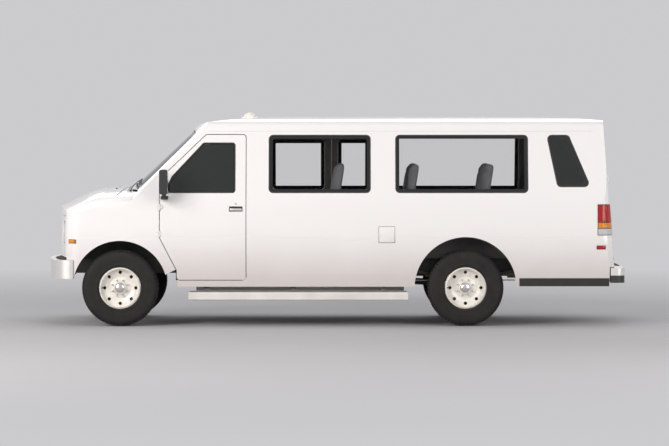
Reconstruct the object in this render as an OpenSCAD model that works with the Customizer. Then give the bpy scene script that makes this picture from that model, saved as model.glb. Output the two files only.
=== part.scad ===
// Full-size passenger van with swing-out side and rear doors, on a ladder frame.
// Millimetres. +X is forward, +Y is left, +Z is up. The origin is on the ground
// below the middle of the overall length.

/* [Overall] */
// Length over both bumpers
length = 5890; // [5860:1:5920]
// Width over the door skins, without mirrors
body_w = 2014; // [2000:1:2030]
// Ground to the roof crown
roof_z = 2120; // [2110:1:2135]
// Distance between the axles
wheelbase = 3505; // [3495:1:3515]
// Front axle, forward of the middle
front_axle_x = 2175; // [2165:1:2185]
// Ground to the lower edge of the body sides
sill_z = 400; // [390:1:410]
// Ground to the belt crease
belt_z = 1300; // [1290:1:1310]
// Ground to the joint between body side and roof
drip_z = 1985; // [1980:1:1990]

/* [Walls] */
// Thickness of body sides, doors and roof
wall_t = 45; // [40:1:50]
// Gap round every door and lid
shut_gap = 7; // [6:1:9]
// Thickness of a pane
glass_t = 6; // [4:1:8]
// Depth of a pane below the skin
glass_in = 12; // [10:1:16]
// Gap round a pane
glass_gap = 0.8; // [0.5:0.1:1.5]

/* [Wheels] */
// Tyre diameter
tyre_d = 774; // [764:1:784]
// Tyre width
tyre_w = 245; // [235:1:250]
// Rim diameter at the flange
rim_d = 443; // [438:1:450]
// Track of the front wheels
front_track = 1760; // [1750:1:1764]
// Track of the rear wheels
rear_track = 1710; // [1700:1:1716]
// Radius of the front wheel arch
front_arch_r = 480; // [470:1:486]
// Radius of the rear wheel arch
rear_arch_r = 518; // [500:1:520]
// Kingpin, in from the middle of a front wheel
kingpin_in = 135; // [130:1:140]

/* [Frame] */
// Centre of a frame rail, out from the centre line
rail_y = 465; // [455:1:470]
// Width of a frame rail
rail_w = 70; // [60:1:76]
// Ground to the underside of a rail
rail_z = 520; // [515:1:525]
// Height of a rail
rail_h = 150; // [140:1:155]
// Ground to the top of the floor
floor_z = 720; // [715:1:730]
// Thickness of the floor
floor_t = 40; // [36:1:42]

/* [Seats] */
// Gap between pieces that rest on each other
seat_gap = 0.3; // [0.2:0.1:0.5]
// Top of the bench frames
bench_top_z = 1015; // [1000:1:1030]
// Lean of a bench back
bench_lean = 9; // [5:1:12]
// Lean of a front seat back
seat_lean = 11; // [6:1:14]

/* [Hidden] */
$fn = 48;
eps = 1;
half_w = body_w / 2;
rear_axle_x = front_axle_x - wheelbase;
axle_z = tyre_d / 2;
kingpin_y = front_track / 2 - kingpin_in;
// Cuts that go right past the body: sideways, forward or back, and up
wide = 1100;
long = 3000;
high = 2400;

// Body section: a bowed lower side, a straight leaning upper side, a rounded roof edge and a crown
bow_r = 2900;
bow_z = 950;
lean = 10.5;
edge_r = 140;
crown_r = 6400;
bow_y = half_w - bow_r;
belt_y = bow_y + bow_r * cos(asin((belt_z - bow_z) / bow_r));
crown_c = roof_z - crown_r;
edge_y = edge_solve(700, 6);
edge_z = edge_height(edge_y);
edge_end = 90 - asin(edge_y / (crown_r - edge_r));

function edge_height(y) = crown_c + sqrt(pow(crown_r - edge_r, 2) - y * y);
function edge_solve(y, n) = n == 0 ? y
    : edge_solve(belt_y - edge_r / cos(lean) - (edge_height(y) - belt_z) * tan(lean), n - 1);
function arc(c, r, a, b, n) = [for (i = [0:n]) c + r * [cos(a + (b - a) * i / n), sin(a + (b - a) * i / n)]];
function flip(p) = [for (i = [len(p) - 1:-1:0]) [-p[i][0], p[i][1]]];
function reverse(p) = [for (i = [len(p) - 1:-1:0]) p[i]];

// Left half of the section at depth t under the skin, from sill to crown, as [y, z]
function half_section(t) = concat(
    arc([bow_y, bow_z], bow_r - t, asin((sill_z - bow_z) / bow_r), asin((belt_z - bow_z) / bow_r), 7),
    arc([edge_y, edge_z], edge_r - t, lean, edge_end, 7),
    arc([0, crown_c], crown_r - t, edge_end + (90 - edge_end) / 4, 90, 3));

module along_x(a, b) { translate([a, 0, 0]) rotate([90, 0, 90]) linear_extrude(b - a) children(); }
module along_y(a, b) { translate([0, b, 0]) rotate([90, 0, 0]) linear_extrude(b - a) children(); }
module both() { children(); mirror([0, 1, 0]) children(); }
module rounded(r) { offset(r = r, $fn = 24) offset(delta = -r) children(); }

// Hinge on its own axis: +X is the body's side, -X the door's, +Y outward
pin_r = 5;
pin_play = 0.05;
module hinge_pocket() { cylinder(r = 11, h = 72, center = true); }
module hinge_barrels() {
    difference() {
        for (z = [-21, 21]) {
            translate([0, 0, z - 9]) cylinder(r = 8, h = 18);
            translate([0, -30, z - 9]) cube([28, 31, 18]);
        }
        cylinder(r = pin_r + pin_play, h = 80, center = true);
    }
}
module hinge_arm() {
    cylinder(r = pin_r, h = 60, center = true);
    cylinder(r = 8, h = 22, center = true);
    translate([-28, -30, -11]) cube([28, 31, 22]);
}

module section_2d(t) {
    half = half_section(t);
    polygon(concat(half, flip(half)));
}
module wall_2d(t0, t1) {
    polygon(concat(half_section(t0), reverse(half_section(t1))));
}

// Rear end: leans forward at the top, slightly bowed in plan, with round corners
rear_x = -2900;
rear_foot_z = 430;
rear_lean = 4.6;
rear_bow_r = 9000;
rear_corner_r = 110;
rear_reach = 5600;
module rear_frame() { translate([rear_x, 0, rear_foot_z]) rotate([0, rear_lean, 0]) children(); }
function rear_plan(t) =
    let (y = half_w - rear_corner_r, x = rear_bow_r - sqrt(rear_bow_r * rear_bow_r - y * y))
    concat([[rear_reach, half_w + 5 - t]],
        arc([x + rear_corner_r, y], rear_corner_r - t, 90, 180, 6),
        [for (i = [-3:3]) let (v = -i * y / 4) [rear_bow_r - sqrt(rear_bow_r * rear_bow_r - v * v) + t, v]],
        arc([x + rear_corner_r, -y], rear_corner_r - t, 180, 270, 6),
        [[rear_reach, -half_w - 5 + t]]);
module rear_prism(t) {
    rear_frame() translate([0, 0, -400]) linear_extrude(high) polygon(rear_plan(t));
}

// Windshield: a bowed face that rises rearward from the cowl
screen_x = 2092;
screen_z = 1400;
screen_rake = 46.8;
screen_bow_r = 4500;
screen_reach = 6500;
module screen_frame() { translate([screen_x, 0, screen_z]) rotate([0, -screen_rake, 0]) children(); }
module screen_prism(t) {
    screen_frame() translate([0, 0, -1500]) linear_extrude(5600)
        polygon(concat([[-screen_reach, -wide - 100]],
            [for (i = [-8:8]) let (y = i * 150) [-y * y / (2 * screen_bow_r) - t, y]], [[-screen_reach, wide + 100]]));
}

// Nose: leans back at the top, bowed in plan, with round corners and fenders that draw in
nose_x = 2835;
nose_z = 810;
nose_lean = 1;
nose_bow_r = 3600;
nose_corner_r = 170;
nose_half_w = 985;
function nose_plan(t) =
    let (y = nose_half_w - nose_corner_r, x = -y * y / (2 * nose_bow_r) - nose_corner_r)
    concat([[-1500, half_w + 5 - t], [-900, half_w - t]],
        arc([x, y], nose_corner_r - t, 90, 0, 6),
        [for (i = [-3:3]) let (v = -i * y / 4) [-v * v / (2 * nose_bow_r) - t, v]],
        arc([x, -y], nose_corner_r - t, 0, -90, 6),
        [[-900, -half_w + t], [-1500, -half_w - 5 + t]]);
module nose_frame() { translate([nose_x, 0, nose_z]) rotate([0, -nose_lean, 0]) children(); }
module nose_prism(t) { nose_frame() translate([0, 0, -600]) linear_extrude(1400) polygon(nose_plan(t)); }

// Hood top: nearly level at the cowl, rounded over to a falling front, crowned across, with
// round shoulders. Each fall is one flat of the rounded-over stretch.
hood_falls = [3.5, 9, 15, 20.5, 26];
hood_round_r = 716;
hood_round_x = 2286;
hood_round_z = 672;
hood_crown_r = 5200;
hood_shoulder_r = 100;
hood_half_w = 990;
module hood_prism(fall, t) {
    y = hood_half_w - hood_shoulder_r;
    z = -y * y / (2 * hood_crown_r) - hood_shoulder_r;
    translate([hood_round_x, 0, hood_round_z]) rotate([0, fall, 0]) translate([0, 0, hood_round_r]) along_x(-900, 700)
        polygon(concat([[hood_half_w + 45, -1100], [hood_half_w + 45 - t, -400]],
            arc([y, z], hood_shoulder_r - t, 8, 80, 5),
            [for (i = [2:-1:-2]) let (v = i * y / 3) [v, -v * v / (2 * hood_crown_r) - t]],
            arc([-y, z], hood_shoulder_r - t, 100, 172, 5),
            [[-hood_half_w - 45 + t, -400], [-hood_half_w - 45, -1100]]));
}

// Outlines in side view, as [x, z]
roof_line = [[long, 1604], [1560, 2000], [1400, 2044], [1260, 2074], [1060, 2098], [820, 2112], [445, 2122],
    [-1900, 2122], [-2400, 2112], [-2650, 2095], [-long, 2060]];
module roof_profile(t) {
    polygon(concat([[-long, 300], [long, 300]], [for (p = roof_line) [p[0], p[1] - t]]));
}
door_front_x = 1770;
door_foot_x = 1600;
door_rear_x = 900;
door_low_z = 470;
door_top_z = 1940;
module front_door_outline() {
    rounded(30) polygon([[door_foot_x, door_low_z], [door_foot_x, 570], [door_front_x, 900], [door_front_x, 1490],
        [1300, door_top_z], [door_rear_x, door_top_z], [door_rear_x, door_low_z]]);
}
side_door_front_x = 740;
side_door_split_x = 32;
side_door_rear_x = -440;
module side_door_outline() {
    rounded(30) translate([side_door_rear_x, door_low_z])
        square([side_door_front_x - side_door_rear_x, door_top_z - door_low_z]);
}
module front_window() {
    rounded(30) polygon([[1702, 1350], [1698, 1420], [1650, 1520], [1330, 1862], [1003, 1862], [1003, 1350]]);
}
window_low_z = 1350;
window_top_z = 1940;
// Windows behind the front door: front low, front top, rear top, rear low
side_windows = [
    [[668, window_low_z], [668, window_top_z], [-368, window_top_z], [-368, window_low_z]],
    [[-616, window_low_z], [-616, window_top_z], [-1965, window_top_z], [-1965, window_low_z]],
    [[-2258, 1410], [-2150, window_top_z], [-2378, window_top_z], [-2600, 1410]]];
module side_window(i) { rounded(45) polygon(side_windows[i]); }
// Windows of the side door leaves: rear x, front x
leaf_windows = [[105, 668], [-368, -35]];
leaf_top_z = 1885;
module leaf_window(i) {
    w = leaf_windows[i];
    rounded(45) translate([w[0], window_low_z]) square([w[1] - w[0], leaf_top_z - window_low_z]);
}
module front_arch() { translate([front_axle_x, axle_z]) circle(front_arch_r, $fn = 96); }
module rear_arch() { translate([rear_axle_x, axle_z]) circle(rear_arch_r, $fn = 96); }

// Shells between two depths under the skin
cowl_z = 1360;
module side_shell(t0, t1) {
    intersection() {
        along_x(-long, 2200) wall_2d(t0, t1);
        rear_prism(t0);
        screen_prism(t0);
        along_y(0, wide) roof_profile(t0);
    }
}
module rear_shell(t0, t1) {
    difference() {
        intersection() {
            rear_prism(t0);
            along_x(-long, -2600) section_2d(t0);
            along_y(-wide, wide) roof_profile(t0);
        }
        rear_prism(t1);
    }
}
module screen_shell(t0, t1) {
    difference() {
        intersection() {
            screen_prism(t0);
            along_x(1000, 2200) section_2d(t0);
            along_y(-wide, wide) roof_profile(t0);
        }
        screen_prism(t1);
    }
}
screen_low = 50;
screen_high = 880;
screen_low_y = 850;
screen_high_y = 745;
module screen_opening(g) {
    screen_frame() rotate([0, 90, 0]) translate([0, 0, -400]) linear_extrude(700) offset(delta = -g)
        rounded(60) polygon([[-screen_low, -screen_low_y], [-screen_high, -screen_high_y],
            [-screen_high, screen_high_y], [-screen_low, screen_low_y]]);
}

rear_axis_in = 33;
rear_door_y = 800;
rear_door_low_z = 610;
rear_foot_cut_z = 600;
bumper_front_x = -2800;
rear_door_top_z = 1950;
door_header_z = rear_door_top_z + shut_gap;
// Hinge lines of the doors
door_axis_y = 1010;
front_hinge_z = [940, 1210];
side_hinge_z = [620, 1230];
rear_hinge_z = [260, 1080];
module front_hinges() {
    for (z = front_hinge_z) translate([door_front_x + shut_gap / 2, door_axis_y, z]) children();
}
module side_hinges(x, s) {
    for (z = side_hinge_z) translate([x + s * shut_gap / 2, door_axis_y, z]) mirror([s > 0 ? 0 : 1, 0, 0]) children();
}
module rear_hinges() {
    rear_frame() for (z = rear_hinge_z)
        translate([rear_axis_in, rear_door_y + shut_gap / 2, z]) rotate([0, 0, 90]) children();
}
module body_side() {
    difference() {
        intersection() {
            union() {
                side_shell(0, wall_t);
                intersection() {
                    rear_shell(0, wall_t);
                    translate([-long, rear_door_y + shut_gap, 0]) cube([500, 400, roof_z]);
                }
                intersection() {
                    screen_shell(0, wall_t);
                    translate([1000, 700, cowl_z]) cube([wide, 400, roof_z]);
                }
            }
            translate([-long, 600, 0]) cube([5000, wide, drip_z]);
        }
        translate([door_foot_x - shut_gap, 0, 0]) cube([600, wide, cowl_z]);
        translate([-long, 0, 0]) cube([long + bumper_front_x + 10, wide, rear_foot_cut_z]);
        screen_opening(0);
        along_y(0, wide) offset(delta = shut_gap) front_door_outline();
        along_y(0, wide) rear_arch();
        for (i = [1, 2]) along_y(0, wide) side_window(i);
    }
}
module side_panel_left() {
    color("white") {
        difference() {
            body_side();
            along_y(0, wide) side_window(0);
            rear_hinges() hinge_pocket();
        }
        rear_hinges() hinge_barrels();
    }
}
module side_panel_right() {
    color("white") mirror([0, 1, 0]) {
        difference() {
            body_side();
            along_y(0, wide) offset(delta = shut_gap) side_door_outline();
            rear_hinges() hinge_pocket();
            side_hinges(side_door_front_x, 1) hinge_pocket();
            side_hinges(side_door_rear_x, -1) hinge_pocket();
        }
        rear_hinges() hinge_barrels();
        side_hinges(side_door_front_x, 1) hinge_barrels();
        side_hinges(side_door_rear_x, -1) hinge_barrels();
    }
}
module roof_panel() {
    color("white") difference() {
        union() {
            difference() {
                intersection() {
                    along_x(-long, 2200) section_2d(0);
                    rear_prism(0);
                    screen_prism(0);
                    along_y(-wide, wide) roof_profile(0);
                    translate([-long, -wide, drip_z]) cube([2 * long, 2 * wide, 400]);
                }
                intersection() {
                    along_x(-long - 100, 2300) section_2d(wall_t);
                    along_y(-wide - 100, wide + 100) roof_profile(wall_t);
                }
            }
            intersection() {
                rear_shell(0, wall_t);
                union() {
                    translate([-long, -wide, drip_z]) cube([500, 2 * wide, 400]);
                    translate([-long, -rear_door_y - shut_gap, door_header_z])
                        cube([500, 2 * (rear_door_y + shut_gap), 400]);
                }
            }
            intersection() {
                screen_shell(0, wall_t);
                translate([1000, -wide, drip_z]) cube([700, 2 * wide, 400]);
            }
        }
        screen_opening(0);
    }
}

// Front body: fenders, nose panel and cowl
hood_t = 30;
hood_rear_x = 2140;
hood_y = 850;
hood_lip_z = 1115;
fender_low_z = 480;
grille_y = 490;
grille_low_z = 800;
grille_high_z = 1085;
lamp_y = [525, 790];
lamp_z = [835, 1060];
module front_solid(t) {
    intersection() {
        along_x(1600, long) section_2d(t);
        nose_prism(t);
        intersection_for(fall = hood_falls) hood_prism(fall, t);
    }
}
module hood_zone(g) {
    along_y(-hood_y + g, hood_y - g) offset(delta = -g)
        polygon([[3100, hood_lip_z], [2700, hood_lip_z], [hood_rear_x + 140, 1260],
            [hood_rear_x - 300, 1700], [3100, 1700]]);
}
// Hood straps dip under the cowl edge and turn on pins behind it
hood_pivot = [2090, 1345];
strap_y = 180;
module hood_strap() {
    along_y(strap_y - 6, strap_y + 6) difference() {
        translate(hood_pivot) polygon([[-10, 7], [-10, -84], [118, -84], [118, 22], [98, 22], [98, -70], [10, -70],
            [10, 7]]);
        translate(hood_pivot) circle(pin_r + pin_play);
    }
}
module front_body() {
    color("white") difference() {
        union() {
            difference() {
                front_solid(0);
                front_solid(hood_t);
                intersection() {
                    screen_prism(0);
                    translate([1400, -wide, 1250]) cube([900, 2 * wide, 500]);
                }
            }
            intersection() {
                screen_shell(0, hood_t);
                union() {
                    translate([1500, -700, 1380]) cube([700, 1400, 100]);
                    both() translate([1500, 700, 1300]) cube([700, 400, cowl_z - 1300]);
                }
            }
            intersection() {
                both() side_shell(0, hood_t);
                translate([door_foot_x, -wide, 1150]) cube([600, 2 * wide, cowl_z - 1150]);
            }
            intersection() {
                difference() {
                    front_solid(0);
                    front_solid(hood_t);
                }
                translate([1400, -wide, 300]) cube([800, 2 * wide, cowl_z - 300]);
            }
        }
        screen_opening(0);
        hood_zone(-shut_gap / 2);
        translate([1000, -wide, cowl_z]) cube([860, 2 * wide, 400]);
        translate([1000, -wide, 0]) cube([door_foot_x - 1000, 2 * wide, 2000]);
        translate([2500, -wide, 0]) cube([600, 2 * wide, fender_low_z]);
        translate([2700, -900, 0]) cube([600, 1800, 700]);
        both() along_y(0, wide) offset(delta = shut_gap) front_door_outline();
        both() along_y(600, wide) front_arch();
        translate([2500, -grille_y, grille_low_z]) cube([600, 2 * grille_y, grille_high_z - grille_low_z]);
        both() translate([2500, lamp_y[0], lamp_z[0]])
            cube([600, lamp_y[1] - lamp_y[0], lamp_z[1] - lamp_z[0]]);
        translate([1500, -940, 300]) cube([1100, 1880, 160]);
        both() front_hinges() hinge_pocket();
    }
    color("white") {
        both() front_hinges() hinge_barrels();
        both() translate([hood_pivot[0] - 9, strap_y + 6.3, hood_pivot[1] - 9]) cube([18, 10, 55]);
        both() translate([hood_pivot[0], strap_y - 8, hood_pivot[1]]) rotate([-90, 0, 0]) cylinder(r = pin_r, h = 16);
    }
}
module hood() {
    color("white") {
        intersection() {
            difference() {
                front_solid(0);
                front_solid(hood_t);
            }
            hood_zone(shut_gap / 2);
        }
        both() hood_strap();
    }
}
module nose_shell(t0, t1) {
    difference() {
        intersection() {
            nose_prism(t0);
            translate([2600, -1000, 600]) cube([400, 2000, 700]);
        }
        nose_prism(t1);
    }
}
module grille() {
    g = 0.3;
    bar = 14;
    color("silver") intersection() {
        nose_shell(22, 56);
        difference() {
            translate([2500, -grille_y + g, grille_low_z + g])
                cube([600, 2 * grille_y - 2 * g, grille_high_z - grille_low_z - 2 * g]);
            for (i = [0:5], s = [-1, 1])
                translate([2400, s > 0 ? bar / 2 : -grille_y + 35, grille_low_z + 35 + i * 37.5])
                    cube([800, grille_y - 35 - bar / 2, 37.5 - bar]);
        }
    }
}
module headlamps() {
    g = 0.3;
    color("gainsboro") both() intersection() {
        nose_shell(10, 70);
        translate([2500, lamp_y[0] + g, lamp_z[0] + g])
            cube([600, lamp_y[1] - lamp_y[0] - 2 * g, lamp_z[1] - lamp_z[0] - 2 * g]);
    }
}

// Panes
module windshield() {
    color("slategray") intersection() {
        screen_shell(glass_in, glass_in + glass_t);
        screen_opening(glass_gap);
    }
}
module pane(a, b) {
    intersection() {
        side_shell(glass_in, glass_in + glass_t);
        along_y(a, b) offset(delta = -glass_gap) children();
    }
}
module side_glass() {
    color("slategray") {
        for (i = [0:2]) pane(0, wide) side_window(i);
        mirror([0, 1, 0]) for (i = [1, 2]) pane(0, wide) side_window(i);
    }
}

// Doors
module front_door() {
    difference() {
        intersection() {
            side_shell(0, wall_t);
            along_y(0, wide) front_door_outline();
        }
        along_y(0, wide) front_window();
        front_hinges() hinge_pocket();
    }
    front_hinges() hinge_arm();
}
module driver_door() { color("white") front_door(); }
module passenger_door() { color("white") mirror([0, 1, 0]) front_door(); }
module driver_door_glass() { color("slategray") pane(0, wide) front_window(); }
module passenger_door_glass() { color("slategray") mirror([0, 1, 0]) pane(0, wide) front_window(); }
module side_leaf(a, b, i, hinge_x, s) {
    mirror([0, 1, 0]) {
        difference() {
            intersection() {
                side_shell(0, wall_t);
                along_y(0, wide) intersection() {
                    side_door_outline();
                    translate([a, 0]) square([b - a, high]);
                }
            }
            along_y(0, wide) leaf_window(i);
            side_hinges(hinge_x, s) hinge_pocket();
        }
        side_hinges(hinge_x, s) hinge_arm();
    }
}
module side_door_front() {
    color("white") side_leaf(side_door_split_x + shut_gap / 2, 1000, 0, side_door_front_x, 1);
}
module side_door_rear() {
    color("white") side_leaf(-1000, side_door_split_x - shut_gap / 2, 1, side_door_rear_x, -1);
}
module side_glass_front() { color("slategray") mirror([0, 1, 0]) pane(0, wide) leaf_window(0); }
module side_glass_rear() { color("slategray") mirror([0, 1, 0]) pane(0, wide) leaf_window(1); }
module rear_window(g) {
    along_x(-long, -2500) offset(delta = -g) rounded(45)
        polygon([[110, window_low_z], [695, window_low_z], [675, 1865], [110, 1865]]);
}
module rear_door() {
    intersection() {
        difference() {
            rear_shell(0, wall_t);
            rear_window(0);
            rear_hinges() hinge_pocket();
        }
        translate([-3100, shut_gap / 2, rear_door_low_z])
            cube([600, rear_door_y - shut_gap / 2, rear_door_top_z - rear_door_low_z]);
    }
    rear_hinges() hinge_arm();
}
module rear_pane() {
    intersection() {
        rear_shell(glass_in, glass_in + glass_t);
        rear_window(glass_gap);
    }
}
module rear_door_left() { color("white") rear_door(); }
module rear_door_right() { color("white") mirror([0, 1, 0]) rear_door(); }
module rear_glass_left() { color("slategray") rear_pane(); }
module rear_glass_right() { color("slategray") mirror([0, 1, 0]) rear_pane(); }

// Door mirror on a foot that follows the door skin
module door_mirror() {
    difference() {
        union() {
            translate([1685, 940, 1288]) cube([70, 150, 34]);
            translate([1700, 1075, 1288]) cube([40, 40, 80]);
            along_y(1070, 1230) translate([1680, 1340]) rounded(25) square([85, 250]);
        }
        along_x(1500, 1900) section_2d(0);
    }
}
module mirror_left() { color("dimgray") door_mirror(); }
module mirror_right() { color("dimgray") mirror([0, 1, 0]) door_mirror(); }

// Tail lamps stand on the rear corners
module tail_lamps() {
    color("firebrick") both() intersection() {
        rear_shell(-8, 0);
        translate([-long, rear_door_y + 25, 920]) cube([400, 400, 320]);
    }
}
beacon_x = 884;
module roof_beacon() {
    color("gainsboro") difference() {
        translate([beacon_x, 0, roof_z - 30]) rotate_extrude()
            polygon([[0, 0], [85, 0], [85, 35], [60, 42], [56, 62], [40, 74], [0, 78]]);
        intersection() {
            along_x(beacon_x - 200, beacon_x + 200) section_2d(-seat_gap);
            along_y(-200, 200) roof_profile(-seat_gap);
        }
    }
}

// Bumpers. The rear one carries the plate holes and a tow ball hole in its step.
plate_y = 89;
plate_hole_r = 3.5;
ball_x = -2912;
ball_hole_r = 13;
nut_hole_r = 30;
bumper_x = length / 2;
horn_x = 2855;
module front_bumper() {
    color("gainsboro") {
        difference() {
            translate([bumper_x, 0, 480]) intersection() {
                linear_extrude(190) polygon(nose_plan(0));
                translate([-295, -1000, 0]) cube([400, 2000, 190]);
            }
            translate([bumper_x, 0, 500]) linear_extrude(190) polygon(nose_plan(50));
            front_solid(-6);
            both() along_y(600, wide) front_arch();
        }
        both() translate([horn_x, rail_y - 35, 500]) cube([40, 70, 100]);
    }
}
module rear_bumper() {
    color("gainsboro") difference() {
        translate([0, 0, 440]) linear_extrude(150) bumper_plan(0);
        translate([0, 0, 452]) linear_extrude(126) bumper_plan(12);
        both() translate([-bumper_x - 5, plate_y, 515]) rotate([0, 90, 0]) cylinder(r = plate_hole_r, h = 60);
        translate([ball_x, 0, 560]) cylinder(r = ball_hole_r, h = 60);
        translate([ball_x + 12, 0, 400]) cylinder(r = nut_hole_r, h = 80);
    }
    color("gainsboro") both() translate([-bumper_x + 11, rail_y - 35, 451]) cube([60, 70, 128]);
}
module bumper_plan(t) {
    polygon(concat([[bumper_front_x + t, 985 - t]], arc([-bumper_x + 70, 985 - 70], 70 - t, 90, 180, 6),
        arc([-bumper_x + 70, -985 + 70], 70 - t, 180, 270, 6), [[bumper_front_x + t, -985 + t]]));
}

// Floor with rear wheel housings, toe board and rear sill
floor_y = 938;
floor_rear_x = -2782;
floor_front_x = 1720;
house_y = 700;
house_t = 12;
fire_x = 1870;
fire_t = 30;
fire_top_z = 1280;
tunnel_y = 265;
tunnel_t = 15;
tunnel_x = 1450;
tunnel_z = 1060;
module floor_pan() {
    color("dimgray") difference() {
        intersection() {
            union() {
                translate([floor_rear_x, -floor_y, floor_z - floor_t])
                    cube([floor_front_x - floor_rear_x, 2 * floor_y, floor_t]);
                both() along_y(house_y - house_t, floor_y) intersection() {
                    rear_arch();
                    translate([rear_axle_x - 1000, floor_z - floor_t]) square([2000, 1000]);
                }
                along_y(-floor_y, floor_y)
                    polygon([[1680, floor_z], [floor_front_x, floor_z - floor_t], [1800, 800], [fire_x + fire_t, 930],
                        [fire_x + fire_t, fire_top_z], [fire_x, fire_top_z], [fire_x, 945], [1770, 820]]);
            }
            along_x(-long, 2200) section_2d(wall_t + seat_gap);
            rear_prism(wall_t + shut_gap);
        }
        both() door_margin(door_rear_x - shut_gap, fire_x);
        mirror([0, 1, 0]) door_margin(side_door_rear_x - shut_gap, side_door_front_x + shut_gap);
        both() along_y(house_y, floor_y + 5) intersection() {
            offset(delta = -house_t) rear_arch();
            translate([rear_axle_x - 1000, 0]) square([2000, 2000]);
        }
        translate([tunnel_x + tunnel_t, -tunnel_y, 0]) cube([600, 2 * tunnel_y, tunnel_z]);
        translate([tunnel_x, -tunnel_y - tunnel_t - seat_gap, floor_z])
            cube([600, 2 * (tunnel_y + tunnel_t + seat_gap), tunnel_z - floor_z + seat_gap]);
    }
    color("dimgray") intersection() {
        front_solid(hood_t + seat_gap);
        both() translate([fire_x, floor_y - 34, 930]) cube([fire_t, 100, cowl_z - 930]);
    }
}
// Room for a door's inner face, along the left edge of the floor
module door_margin(a, b) {
    difference() {
        translate([a, 700, floor_z - floor_t - 5]) cube([b - a, 400, 700]);
        along_x(a - 5, b + 5) section_2d(wall_t + shut_gap);
    }
}
module engine_cover() {
    color("dimgray") difference() {
        along_y(-tunnel_y - tunnel_t, tunnel_y + tunnel_t)
            polygon([[tunnel_x, floor_z], [tunnel_x, 920], [tunnel_x + 90, tunnel_z], [fire_x - 0.3, tunnel_z],
                [fire_x - 0.3, floor_z]]);
        translate([tunnel_x + tunnel_t + 60, -tunnel_y, 0]) cube([600, 2 * tunnel_y, tunnel_z - tunnel_t]);
        translate([tunnel_x + tunnel_t, -tunnel_y, 0]) cube([600, 2 * tunnel_y, 930]);
    }
}

// Dashboard with the steering column
column_x = 1550;
column_y = 470;
column_z = 1235;
column_rake = 35;
shaft_r = 12;
module column_frame() { translate([column_x, column_y, column_z]) rotate([0, 90 + column_rake, 0]) children(); }
module dashboard() {
    color("dimgray") difference() {
        intersection() {
            union() {
                along_y(-900, 900) rounded(30) polygon([[fire_x - seat_gap, 1110], [fire_x - seat_gap, 1300],
                    [2040, 1335], [2040, 1380], [1755, 1385], [1700, 1310], [1735, 1110]]);
                column_frame() translate([0, 0, 40]) cylinder(r = 38, h = 200);
            }
            along_x(1400, 2200) section_2d(wall_t + 8);
            union() {
                translate([1400, -1000, 900]) cube([370, 2000, 600]);
                front_solid(hood_t + 6);
            }
            screen_prism(60);
        }
        column_frame() translate([0, 0, 30]) cylinder(r = shaft_r + pin_play, h = 110);
    }
}
module steering_wheel() {
    color("black") column_frame() {
        rotate_extrude($fn = 64) translate([185, 0]) circle(15, $fn = 16);
        translate([0, 0, -10]) cylinder(r = 55, h = 45);
        translate([0, 0, 30]) cylinder(r = shaft_r, h = 90);
        for (a = [0, 120, 240]) rotate([0, 0, a + 90]) translate([-14, 0, -4]) cube([28, 176, 10]);
    }
}

// Ladder frame
rail_front_x = 2780;
rail_rear_x = -2795;
cross_x = [2600, 940, 400, -560, -2130, -2700];
spring_half = 700;
leaf_y = 562;
leaf_w = 65;
coil_y = 600;
beam_top_z = 415;
coil_h = 204;
engine_low_z = 560;
gearbox_low_z = 480;
module chassis_frame() {
    color("dimgray") union() {
        both() translate([rail_rear_x, rail_y - rail_w / 2, rail_z]) cube([rail_front_x - rail_rear_x, rail_w, rail_h]);
        for (x = cross_x) translate([x - 40, -rail_y, rail_z + 40]) cube([80, 2 * rail_y, 70]);
        both() for (x = [1560, 700, -300, -2200, -2600])
            translate([x, rail_y, rail_z + rail_h - eps]) cylinder(r = 32, h = floor_z - floor_t - rail_z - rail_h + eps);
        both() translate([rail_front_x - 80, rail_y - 30, 505]) cube([horn_x - rail_front_x + 79.7, 60, 90]);
        both() translate([-2873.7, rail_y - 30, 505]) cube([120, 60, 72]);
        both() for (x = [rear_axle_x + spring_half + 0.3, rear_axle_x - spring_half - 60.3])
            translate([x, rail_y, 590]) cube([60, leaf_y + leaf_w / 2 + 5 - rail_y, 80]);
        both() translate([front_axle_x - 75, rail_y, beam_top_z + coil_h + 0.3]) cube([150, coil_y + 75 - rail_y, 40]);
        translate([1850, -rail_y, rail_z]) cube([100, 2 * rail_y, engine_low_z - rail_z - 0.3]);
        translate([1060, -rail_y, 440]) cube([80, 2 * rail_y, gearbox_low_z - 440 - 0.3]);
        both() translate([1060, rail_y - 30, 440]) cube([80, 60, rail_z + 20 - 440]);
    }
}
module engine_block() {
    color("dimgray") union() {
        translate([1530, -250, engine_low_z]) cube([680, 500, 1020 - engine_low_z]);
        translate([1010, -130, gearbox_low_z]) cube([521, 260, 180]);
    }
}
module exhaust_pipe() {
    color("silver") union() {
        translate([-1950, -300, 480]) rotate([0, 90, 0]) cylinder(r = 28, h = 2850);
        translate([-350, -300, 480]) rotate([0, 90, 0]) cylinder(r = 80, h = 620);
        translate([-1950, -300, 480]) rotate([90, 0, 0]) cylinder(r = 28, h = 580);
        for (x = [400, -560]) translate([x - 5, -315, 490]) cube([10, 30, rail_z + 40 - 490 - 0.3]);
    }
}
module fuel_tank() {
    color("dimgray") translate([-505, 70, floor_z - floor_t - 0.3 - 240]) along_x(0, 850) rounded(40) square([330, 240]);
}

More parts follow.
